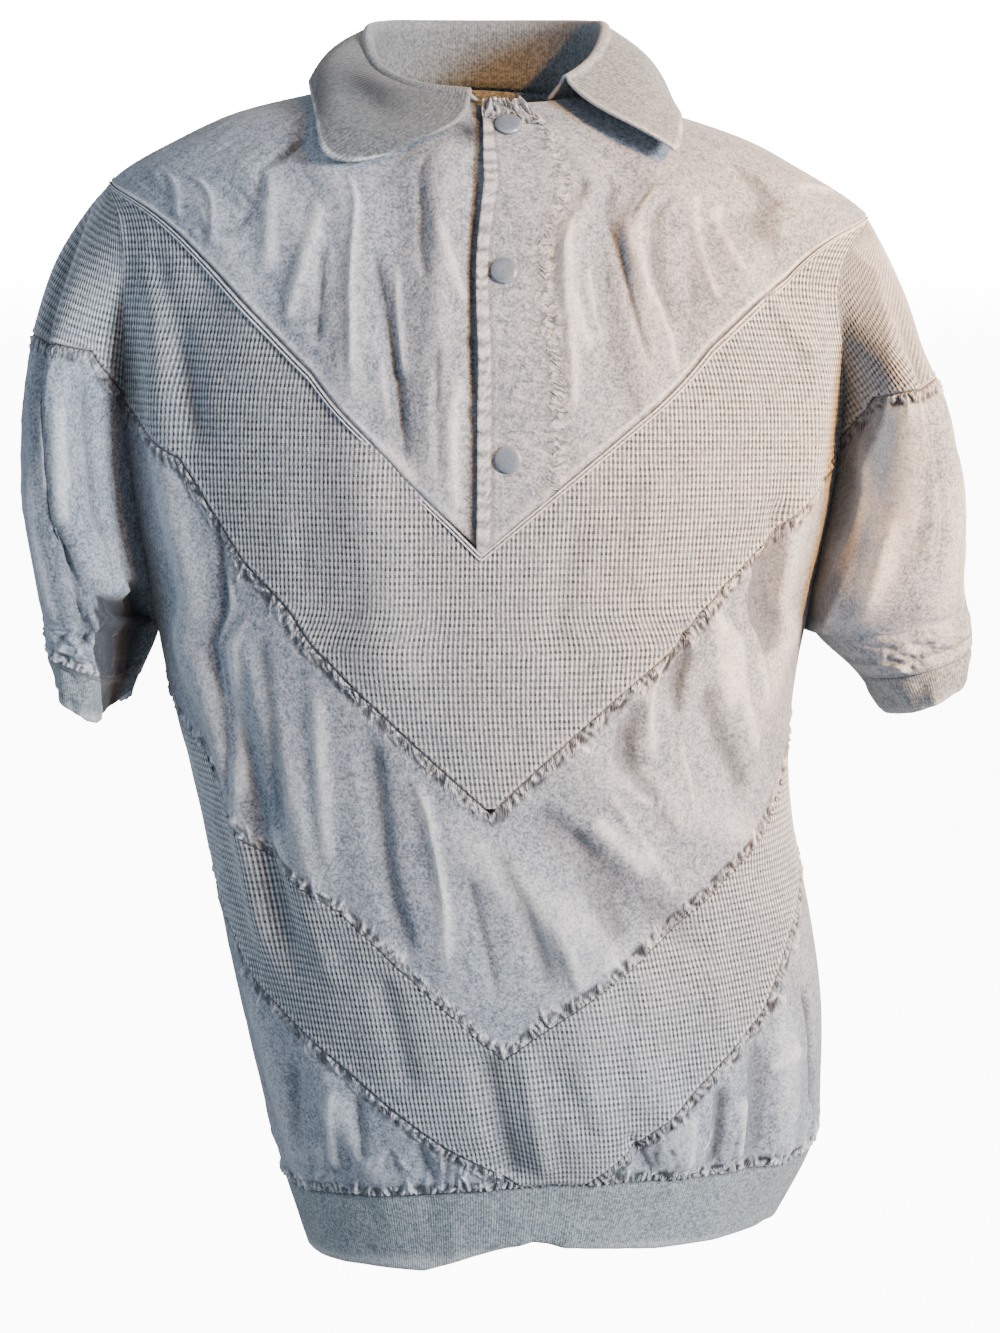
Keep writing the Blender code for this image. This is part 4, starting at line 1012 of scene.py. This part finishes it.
def woven_relief(gathered, boxes, seed):
    """Fine form of a woven panel between gathered seams [(seam, side of it that is puckered)]."""
    settings = bpy.context.scene.shirt_form
    high, pucker = settings.crease_height, settings.pucker_height

    def relief(across, level, face):
        around, loose = np.zeros(across.shape), np.zeros(across.shape)
        for number, (name, side) in enumerate(gathered):
            around = around + puckers(across, level, name, side, seed + 50 + number, pucker)
        for number, (box, count, lean, tall, wide) in enumerate(boxes):
            loose = loose + crumple(across, level, box, count, seed + number, lean, 28,
                                    (5.5 * wide, 14 * wide), (wide, 2.1 * wide), tall)
        along, away = nearest_seam([name for name, _ in gathered], across, level)
        above_cuff = np.where(np.abs(across) > SIDE, level - CUFF_TOP, 99.0)
        loose = loose * ramp(np.minimum(np.abs(away), above_cuff), 0, 4)
        fine = creases(across, level, face) * np.where(face < 0, high, 1.4 * high) + loose
        under = underfold(across, level) * (face < 0)
        fade = edge_fade(across)
        height = (fine + around - 1.1 * bell(away, 0, 0.8)) * fade
        height = height - (4.0 + 6.0 * ramp(level, CUFF_TOP, -325)) * under
        # the painted highlight and painted shade of folds are kept weak on the hidden back
        worn, recess = (shade * np.where(face < 0, 1.0, 0.25) for shade in shades(fine, folds(across, level, face)))
        # painted shade in fold troughs, stronger on the right of the body; painted shadow beside the body on the
        # right sleeve; painted shade in the gaps between puckers; a dark line along the seam
        recess = most(recess * np.where(across > SIDE, 0.2, 0.8 + 0.5 * ramp(across, 20, 130)),
                      0.72 * hollow(across, level) * (face < 0),
                      (0.74 + 0.24 * ramp(across, 0, 80)) * ramp(-around, 0.2, 0.75),
                      0.72 * bell(away, 0, 0.8),
                      # painted shade: the folded-under underside is dark, and black where it runs in behind the
                      # body
                      under * (0.90 + 0.10 * ramp(across, -312, -296)))
        gathered_cuff = ramp(-level, 326, 338) * (np.abs(across) > SIDE)
        crinkle = most(1 - ramp(np.abs(away), 2.5, 10), 0.7 * gathered_cuff)
        return height, most(worn, ramp(around, 0.15, 0.9)) * (1 - under), recess, crinkle * fade, along, away

    return relief


def body_and_arms(bm, cell, arm_cell, body, arms, face=FRONT):
    """Blocks for the body and both sleeves, a narrow gap apart."""
    woven_block(bm, columns(-SIDE + NARROW, SIDE - NARROW, cell), body, face)
    for start in (-SIDE - ARM + NARROW, SIDE + NARROW):
        woven_block(bm, columns(start, start + ARM - 2 * NARROW, arm_cell), arms, face)


def woven_middle():
    bm = bmesh.new()
    body_and_arms(bm, 1.0, 1.4, [("middle", "underarm", 16, True), ("underarm", "lower", 10, False, True)],
                  [("middle", ARMPIT, 16, True), (ARMPIT, CUFF_TOP, 40)])
    boxes = [((-250, 250, -560, -230), 260, 20, 0.6, 1.8), ((-405, -265, -345, -160), 90, 8, 0.9, 1.8),
             ((265, 405, -345, -160), 80, -12, 0.7, 1.8), ((-368, -298, -347, -306), 95, 74, 2.0, 1.3),
             ((300, 372, -347, -326), 46, -66, 1.5, 1.1), ((300, 366, -346, -330), 24, 30, 1.3, 1.0)]
    drape("front_woven_middle", bm, woven_relief([("middle", -1), ("lower", 1)], boxes, 100), washed_cotton)


def woven_hem(side):
    bm = bmesh.new()
    xs = columns(-SIDE + NARROW, -1.0, 1.0) if side == "left" else columns(1.0, SIDE - NARROW, 1.0)
    woven_block(bm, xs, [("hem", HEM_TOP, 20, True, True)])
    boxes = [((-250, 250, -640, -460), 170, 0, 0.8, 1.8), ((-250, 250, -644, -616), 170, 20, 1.6, 1.4)]
    drape("front_woven_hem_" + side, bm, woven_relief([("hem", -1), (HEM_TOP, 1)], boxes, 200), washed_cotton)


def back():
    bm = bmesh.new()
    body_and_arms(bm, 3.3, 3.3, [(-0.1, SHOULDER_POINT, 18), (SHOULDER_POINT, ARMPIT, 70),
                                 (ARMPIT, HEM_TOP, 80, False, True)],
                  [(SHOULDER_POINT, ARMPIT, 70), (ARMPIT, CUFF_TOP, 10)], BACK)
    boxes = [((-250, 250, -640, -40), 420, 5, 1.0, 2.2), ((-250, 250, -644, -612), 110, 10, 1.8, 2.2),
             ((-400, -268, -346, -110), 80, 5, 1.0, 2.2), ((268, 400, -346, -110), 80, -5, 1.0, 2.2)]
    drape("back", bm, woven_relief([(HEM_TOP, 1)], boxes, 300), washed_cotton)


def band_relief(seed, soft, box):
    """Fine form of a rib band whose top is sewn to the cloth; box is its place in the pattern."""

    def relief(across, level, face):
        away = level - box[3]
        height = crumple(across, level, box, 60, seed, 5, 35, (16, 40), (4, 9), soft) * ramp(-away, 0, 5)
        height = height - 0.9 * bell(away, 0, 1.2) - 0.6
        worn = 0.45 * ramp(-level, -box[2] - 6, -box[2])
        return height, worn, 0.75 * bell(away, 0, 1.6), 0.0, across, away

    return relief


def hem_band():
    bm = bmesh.new()
    for end, face in (("edge", FRONT), (HEM_END, BACK)):
        woven_block(bm, columns(-SIDE, SIDE, 2.4), [(HEM_TOP, end, 18)], face)
    drape("hem_band", bm, band_relief(401, 1.0, (-SIDE, SIDE, HEM_END, HEM_TOP)), rib_knit, wall=2.0, join=0.3)


def cuff(side):
    start, seed = (-SIDE - ARM, 411) if side == "left" else (SIDE, 412)
    bm = bmesh.new()
    for face in (FRONT, BACK):
        woven_block(bm, columns(start + NARROW, start + ARM - NARROW, 1.8),
                    [(CUFF_TOP, "cuff_" + side, 14)], face)
    plain = band_relief(seed, 1.3, (start, start + ARM, CUFF_END, CUFF_TOP))

    def relief(across, level, face):
        height, worn, recess, crinkle, along, away = plain(across, level, face)
        under = underfold(across, level) * (face < 0)
        # painted shade on the folded-under part of the cuff, darker toward the body; no pale wear there
        recess = most(recess, under * (0.68 + 0.28 * ramp(across, -312, -290)))
        return height * edge_fade(across) - 4.0 * under, worn * (1 - under), recess, crinkle, along, away

    drape("cuff_" + side, bm, relief, rib_knit, wall=1.8, join=0.3)


def cord():
    """The raised cord along the yoke seam: two rounded ridges with a dark line between."""
    bm = bmesh.new()
    xs, over = columns(-SIDE + 2.0, SIDE - 2.0, 1.6), 0.6
    level = seam_level("yoke", xs) + over - (CORD_DROP + over) * np.linspace(0, 1, 11)[:, None]
    flat_grid(bm, np.broadcast_to(xs, level.shape), level)

    def relief(across, level, face):
        t = (seam_level("yoke", across) + over - level) / (CORD_DROP + over)
        twin = np.sqrt(np.clip(np.sin(2 * pi * t) ** 2, 0, 1))
        height = -0.5 + 1.9 * twin * ramp(t, 0.0, 0.06) * (1 - ramp(t, 0.94, 1.0))
        # paler tops of the ridges; painted shade in the groove between them and at the cord's edges
        recess = most(0.9 * bell(t, 0.5, 0.09), 0.7 * (1 - ramp(np.minimum(t, 1 - t), 0.02, 0.12)))
        return height, 0.95 * ramp(twin, 0.55, 0.9), recess, 0.0, seam_run("yoke", across), t * 4

    drape("yoke_piping", bm, relief, washed_cotton, wall=0.8, join=0.02, flat=PIPING_CUT)


def binding():
    """The crinkled strip over the top of the opening."""
    bm = bmesh.new()
    xs = columns(-3.5, 50.0, 0.7)
    ys = np.linspace(2.5, BINDING_END - 3.0, 28)[:, None]
    flat_grid(bm, np.broadcast_to(xs, (28, len(xs))), ys - 0.10 * xs)

    def relief(across, level, face):
        box = (-2, 49, -19, 2)
        loops = crumple(across, level, box, 60, 501, 0, 38, (7, 16), (1.0, 1.8), 2.0)
        loops = loops + crumple(across, level, box, 22, 502, 80, 20, (6, 14), (1.0, 1.7), 1.3)
        # paler tops of the loops and painted shade in the troughs between them
        return 2.0 + loops, 0.8 * ramp(loops, 0.2, 1.6), 0.8 * ramp(-loops, 0.1, 1.4), 0.7, across, level

    drape("neck_binding", bm, relief, washed_cotton, wall=1.0, join=0.02)


def neck_line(angle):
    """Point of the neck opening, just inside it, at this turn from the front."""
    neck = dict(zip(BODY[0], BODY[1]))
    front = cos(angle) > 0
    x = neck["right"] * sin(angle)
    y = -(neck["front"] if front else neck["back"]) * cos(angle)
    rise = (neck["rise_front"] if front else neck["rise_back"]) * cos(angle) ** 2
    inside = 0.98
    return Vector((inside * x, inside * y, 1.4 + rise + neck["climb_right"] * x))


def collar_fall(turn, t, start, edge, out):
    """Point of the fall at this turn and share of its depth, and how pale its rubbed edge is there."""
    up = Vector((0, 0, 1))
    # the left leaf ends in a round tip, the right one in a blunt corner
    near_left, near_right = min(1.0, max(0.0, (turn + 26) / 23)), min(1.0, max(0.0, (-turn - 322) / 8))
    reach = 1.0 + 0.13 * float(bell(turn, -18, 12))
    reach -= 0.30 * (1 - sqrt(1 - near_left ** 2)) + 0.05 * (1 - sqrt(1 - near_right ** 2))
    place = start.lerp(edge, t * reach) + (out + up * 0.7) * 5.0 * sin(pi * t)
    # rounded leaf ends, a soft dent in the left leaf, slow waves of the edge
    swell = sin(pi * min(1.0, t ** 0.75)) ** 1.2
    place += Vector((0.75, -0.25, -0.85)) * (float(ramp(turn, -34, -3)) * 10.0 * swell)
    place += Vector((-0.6, -0.3, -0.75)) * (float(ramp(-turn, 300, 330)) * 8.0 * swell)
    dent = np.exp(-((turn + 30) / 12) ** 2 - ((t - 0.42) / 0.2) ** 2)
    place -= (out + up * 0.5) * float(6.0 * dent)
    place += (out * 0.6 + up) * (t * t * 1.3 * sin(radians(turn) * 9.0))
    return place, 0.85 * float(ramp(t, 0.945, 0.975)) * (0.6 + 0.4 * sin(turn * 13.0))


def collar():
    """A stand and a fall in one knitted piece, folded along a round roll."""
    turns = columns(-330.0, -3.0, 1.4)
    value = {n: column(COLLAR, n, turns) for n in COLLAR[0][1:]}
    stand, roll, fall = np.linspace(0, 1, 9)[:-1], np.radians(np.linspace(-75, 75, 7)), np.linspace(0, 1, 34)
    nx, ny = len(turns) - 1, len(stand) + len(roll) + len(fall) - 1
    round_of_roll = 2.9
    up = Vector((0, 0, 1))
    bm = bmesh.new()
    tags = bm.verts.layers.float_vector.new("tags")
    for vert in bmesh.ops.create_grid(bm, x_segments=nx, y_segments=ny, size=0.5)["verts"]:
        i, j = round((vert.co.x + 0.5) * nx), round((0.5 - vert.co.y) * ny)
        turn = turns[i]
        top, edge = (Vector([value[part + c][i] for c in "xyz"]) for part in ("roll_", "edge_"))
        out = Vector((top.x, top.y, 0)).normalized()
        heart = top - up * 3.0
        worn = 0.0
        if j < len(stand):
            place = neck_line(radians(turn)).lerp(heart - out * 2.8, stand[j])
        elif j < len(stand) + len(roll):
            angle = roll[j - len(stand)]
            place = heart + out * round_of_roll * sin(angle) + up * round_of_roll * cos(angle)
            worn = 0.25
        else:
            t = fall[j - len(stand) - len(roll)]
            place, worn = collar_fall(turn, t, heart + out * round_of_roll, edge, out)
        vert.co = place * MM
        # painted shade in the dent of the left leaf, stored in the tag as a negative value
        shaded = float(np.exp(-((turn + 42) / 17) ** 2 - ((j / ny - 0.5) / 0.15) ** 2))
        vert[tags] = (turn, j / ny, worn if worn else -shaded)
    mesh = bpy.data.meshes.new("collar")
    bm.normal_update()
    bm.to_mesh(mesh)
    turn, depth, worn = np.array([v[tags] for v in bm.verts]).T
    bm.free()
    if mesh.polygons[len(mesh.polygons) // 2].normal.z < 0:
        mesh.flip_normals()
    add_uv(mesh, "cut", np.radians(turn) * 0.075, depth * COLLAR_CUT[1])
    add_uv(mesh, "seam", turn * MM, depth)
    ends = most(ramp(turn, -4.6, -3.2), ramp(-turn, 328.2, 329.6))
    # painted shade on the inside of the stand and on the left leaf, deepest in its dent
    left_leaf_shade = (0.55 + 0.40 * np.maximum(-worn, 0)) * (depth > 0.2) * ramp(turn, -110, -50)
    add_values(mesh, worn=most(worn, 0.7 * ends),
               recess=most((depth < 0.2) * 0.45, left_leaf_shade * ramp(1 - depth, 0.02, 0.05)),
               crinkle=0.0)
    piece = finish_piece("cloth_collar", mesh, rib_knit, "collar", join=0.01, wall=1.9, offset=0.0)


def snap(number):
    """A snap cap: a smooth dome with a rounded rim and a shallow dish."""
    across, level = SNAPS[number]
    bm = bmesh.new()
    half, high = SNAP_WIDTH / 2, SNAP_HEIGHT
    verts = [bm.verts.new((r * half * MM, 0, z * high * MM)) for r, z in SNAP_OUTLINE]
    edges = [bm.edges.new(pair) for pair in zip(verts, verts[1:])]
    bmesh.ops.spin(bm, geom=verts + edges, cent=(0, 0, 0), axis=(0, 0, 1), angle=2 * pi, steps=56,
                   use_merge=True)
    bmesh.ops.remove_doubles(bm, verts=bm.verts[:], dist=0.005 * MM)
    bmesh.ops.recalc_face_normals(bm, faces=bm.faces[:])
    x, y, z = np.array([v.co[:] for v in bm.verts]).T
    radius, rise = np.hypot(x, y) / (half * MM), z / (high * MM)
    place, out = slopes(folded, np.array([float(across)]), np.array([float(level)]), np.array([FRONT]))
    turn = Vector(out[0]).to_track_quat("Z", "Y").to_matrix().to_4x4()
    turn.translation = Vector(place[0] + out[0] * (WALL / 2 + 0.45)) * MM
    bmesh.ops.transform(bm, matrix=turn, verts=bm.verts[:])
    mesh = bpy.data.meshes.new("snap_cap_%d" % number)
    bm.to_mesh(mesh)
    bm.free()
    # painted shade low on the cap where it meets the cloth; a paler rubbed ring near the top of the rim
    add_values(mesh, worn=0.5 * bell(radius, 0.93, 0.06) * (rise > 0.5), recess=1 - ramp(rise, 0.02, 0.45))
    finish_piece("snap_cap_%d" % number, mesh, snap_enamel, "snap_%d" % number, join=0.001)


# ------------------------------------------------------------ stage
def add_object(name, data):
    made = bpy.data.objects.new(name, data)
    bpy.context.scene.collection.objects.link(made)
    return made


def add_light(kind, name, place, aim, power, colour, **settings):
    light = bpy.data.lights.new(name, kind)
    light.energy, light.color = power, colour
    for key, value in settings.items():
        setattr(light, key, value)
    lamp = add_object(name, light)
    lamp.location = place
    lamp.rotation_euler = (Vector(aim) - Vector(place)).to_track_quat("-Z", "Y").to_euler()


def stage():
    scene = bpy.context.scene
    data = bpy.data.cameras.new("camera")
    data.sensor_fit, data.sensor_height, data.lens = "VERTICAL", 36.0, 57.2
    data.clip_end = 200.0
    scene.camera = add_object("camera", data)
    scene.camera.location = (0.0085, -1.28735, -0.16207)
    scene.camera.rotation_euler = (radians(90 - 8), 0, 0)

    bm = bmesh.new()
    bmesh.ops.create_grid(bm, x_segments=24, y_segments=24, size=40.0)
    bmesh.ops.translate(bm, vec=(0, 0, -1.02), verts=bm.verts[:])
    mesh = bpy.data.meshes.new("floor")
    bm.to_mesh(mesh)
    bm.free()
    n = Finish("studio_floor", 0.8, sheen=0.0)
    tone = n.smooth(n.noise(n.spot, 0.7, 2.0), 0.2, 0.8)
    n.put(n.mix(tone, (0.20, 0.20, 0.21, 1), (0.23, 0.23, 0.23, 1)), n.shader["Base Color"])
    n.put((1, 1, 1, 1), n.shader["Emission Color"])
    n.put(n.times(n.add("LightPath")["Is Camera Ray"], 11.0), n.shader["Emission Strength"])
    mesh.materials.append(n.material)
    add_object("floor", mesh)

    world = bpy.data.worlds.new("studio")
    scene.world = world
    world.use_nodes = True
    n, ground = Nodes(world.node_tree), world.node_tree.nodes["Background"].inputs
    ground[0].default_value = (0.97, 0.98, 1.0, 1)
    # a backdrop that rises from the floor's tone to white, brighter to the eye than as a light
    height = n.add("SeparateXYZ", {0: n.add("TexCoord")["Generated"]})[2]
    seen = n.add("LightPath")["Is Camera Ray"]
    n.put(n.add("Mix", {0: seen, 2: 0.34, 3: n.smooth(height, 0.0, 0.10, 12.0, 22.0)})[0], ground[1])

    look, middle = scene.shirt_light, (0, 0, -0.3)
    add_light("AREA", "key", (1.85, -1.55, 0.2), middle, look.key_power, look.key_colour, size=0.6)
    add_light("AREA", "fill", (-2.0, -1.0, 0.0), middle, look.fill_power, look.fill_colour, size=1.4)
    add_light("AREA", "rim", (1.2, 1.9, 0.7), middle, look.rim_power, (1.0, 0.97, 0.93), size=0.9)
    # low warm light that falls on the right shoulder and sleeve and fades out over the chest
    add_light("SPOT", "low_sun", (1.5, -1.9, 0.9), (0.33, 0, -0.16), look.sun_power, look.sun_colour,
              spot_size=radians(20), spot_blend=1.0, shadow_soft_size=0.12)


# ------------------------------------------------------------ add-on
def colour_prop(name, description, default):
    return FloatVectorProperty(name=name, description=description, subtype="COLOR", size=3, min=0, max=1,
                               default=default)


def power_prop(name, description, default):
    return FloatProperty(name=name, description=description, default=default, unit="POWER")


class ShirtForm(bpy.types.PropertyGroup):
    crease_height: FloatProperty(name="Creases", description="Height of the creases placed by hand, as a factor",
                                 default=1.5, min=0, max=3)
    pucker_height: FloatProperty(name="Puckers", description="Height of the puckers beside gathered seams, mm",
                                 default=2.1, min=0, max=4)


class ShirtFinish(bpy.types.PropertyGroup):
    cloth_deep: colour_prop("Cloth, deep", "Darker specks of the washed cotton", (0.06, 0.09, 0.14))
    cloth_pale: colour_prop("Cloth, pale", "Paler specks of the washed cotton", (0.42, 0.47, 0.54))
    knit_deep: colour_prop("Waffle, deep", "Darker yarn of the waffle knit", (0.10, 0.135, 0.185))
    knit_pale: colour_prop("Waffle, pale", "Paler yarn of the waffle knit", (0.45, 0.505, 0.56))
    rib_deep: colour_prop("Rib, deep", "Darker yarn of collar and bands", (0.065, 0.095, 0.125))
    rib_pale: colour_prop("Rib, pale", "Paler yarn of collar and bands", (0.39, 0.445, 0.48))
    # pale colour of rubbed ridges and seams, and of the painted highlight on fold ridges
    worn_colour: colour_prop("Wear And Highlight", "Cloth rubbed pale on ridges and seams", (0.78, 0.82, 0.87))
    # painted shade: near-black mixed into troughs, pits, gaps, undersides and the shadow beside the body; also dark
    # seam lines
    recess_colour: colour_prop("Shade And Seams", "Cloth that lies deep and kept its dye", (0.022, 0.026, 0.036))
    snap_deep: colour_prop("Snap, deep", "Darker tone of the snap caps", (0.08, 0.115, 0.17))
    snap_pale: colour_prop("Snap, pale", "Paler tone of the snap caps", (0.17, 0.22, 0.30))
    snap_worn: colour_prop("Snap, rim", "Rubbed rim of the snap caps", (0.42, 0.48, 0.55))


class ShirtLight(bpy.types.PropertyGroup):
    key_power: power_prop("Key", "Light from the front right", 148.0)
    sun_power: power_prop("Sun", "Warm light on the right shoulder", 1400.0)
    fill_power: power_prop("Fill", "Cool light from the left", 24.0)
    rim_power: power_prop("Rim", "Light from behind", 60.0)
    key_colour: colour_prop("Key colour", "Colour of the main light", (1.0, 0.985, 0.965))
    sun_colour: colour_prop("Sun colour", "Colour of the warm light", (1.0, 0.44, 0.10))
    fill_colour: colour_prop("Fill colour", "Colour of the cool light", (0.74, 0.86, 1.0))


class SHIRT_OT_stage(bpy.types.Operator):
    """Camera, pale floor and soft studio light"""
    bl_idname, bl_label = "shirt.stage", "Stage"

    def execute(self, context):
        stage()
        return {"FINISHED"}


class SHIRT_OT_yokes(bpy.types.Operator):
    """Left and right upper fronts in washed cotton"""
    bl_idname, bl_label = "shirt.yokes", "Yokes"

    def execute(self, context):
        yoke("left")
        yoke("right")
        return {"FINISHED"}


class SHIRT_OT_waffle(bpy.types.Operator):
    """The two chevrons in waffle knit"""
    bl_idname, bl_label = "shirt.waffle", "Waffle chevrons"

    def execute(self, context):
        waffle_chevron("front_waffle_upper", "yoke", "middle", True)
        waffle_chevron("front_waffle_lower", "lower", "hem", False)
        return {"FINISHED"}


class SHIRT_OT_woven(bpy.types.Operator):
    """The woven chevron with the lower sleeves, and the woven cloth above the hem"""
    bl_idname, bl_label = "shirt.woven", "Woven panels"

    def execute(self, context):
        woven_middle()
        woven_hem("left")
        woven_hem("right")
        return {"FINISHED"}


class SHIRT_OT_back(bpy.types.Operator):
    """The back with the backs of both sleeves"""
    bl_idname, bl_label = "shirt.back", "Back"

    def execute(self, context):
        back()
        return {"FINISHED"}


class SHIRT_OT_bands(bpy.types.Operator):
    """Rib hem band and cuffs"""
    bl_idname, bl_label = "shirt.bands", "Bands"

    def execute(self, context):
        hem_band()
        cuff("left")
        cuff("right")
        return {"FINISHED"}


class SHIRT_OT_trims(bpy.types.Operator):
    """Cord along the yoke seam and binding over the opening"""
    bl_idname, bl_label = "shirt.trims", "Trims"

    def execute(self, context):
        cord()
        binding()
        return {"FINISHED"}


class SHIRT_OT_collar(bpy.types.Operator):
    """Folded flat-knit collar"""
    bl_idname, bl_label = "shirt.collar", "Collar"

    def execute(self, context):
        collar()
        return {"FINISHED"}


class SHIRT_OT_snaps(bpy.types.Operator):
    """Snap caps on the right front"""
    bl_idname, bl_label = "shirt.snaps", "Snaps"

    def execute(self, context):
        for number in (1, 2, 3):
            snap(number)
        return {"FINISHED"}


OPERATORS = (SHIRT_OT_stage, SHIRT_OT_yokes, SHIRT_OT_waffle, SHIRT_OT_woven, SHIRT_OT_back, SHIRT_OT_bands,
             SHIRT_OT_trims, SHIRT_OT_collar, SHIRT_OT_snaps)
GROUPS = {"shirt_form": ShirtForm, "shirt_finish": ShirtFinish, "shirt_light": ShirtLight}


class SHIRT_PT_panel(bpy.types.Panel):
    """Sizes, colours and pieces of the shirt"""
    bl_idname, bl_label = "SHIRT_PT_panel", "Shirt"
    bl_space_type, bl_region_type, bl_category = "VIEW_3D", "UI", "Shirt"

    def draw(self, context):
        for label, kind in GROUPS.items():
            for prop in kind.__annotations__:
                self.layout.prop(getattr(context.scene, label), prop)
        for operator in OPERATORS:
            self.layout.operator(operator.bl_idname)


def register():
    for kind in (*GROUPS.values(), *OPERATORS, SHIRT_PT_panel):
        bpy.utils.register_class(kind)
    for label, kind in GROUPS.items():
        setattr(bpy.types.Scene, label, PointerProperty(type=kind))


def unregister():
    for label in GROUPS:
        delattr(bpy.types.Scene, label)
    for kind in (SHIRT_PT_panel, *reversed(OPERATORS), *GROUPS.values()):
        bpy.utils.unregister_class(kind)


def main():
    register()
    bpy.ops.shirt.stage()
    bpy.ops.shirt.yokes()
    bpy.ops.shirt.waffle()
    bpy.ops.shirt.woven()
    bpy.ops.shirt.back()
    bpy.ops.shirt.bands()
    bpy.ops.shirt.trims()
    bpy.ops.shirt.collar()
    bpy.ops.shirt.snaps()
    bpy.context.view_layer.update()


if __name__ == "__main__":
    main()
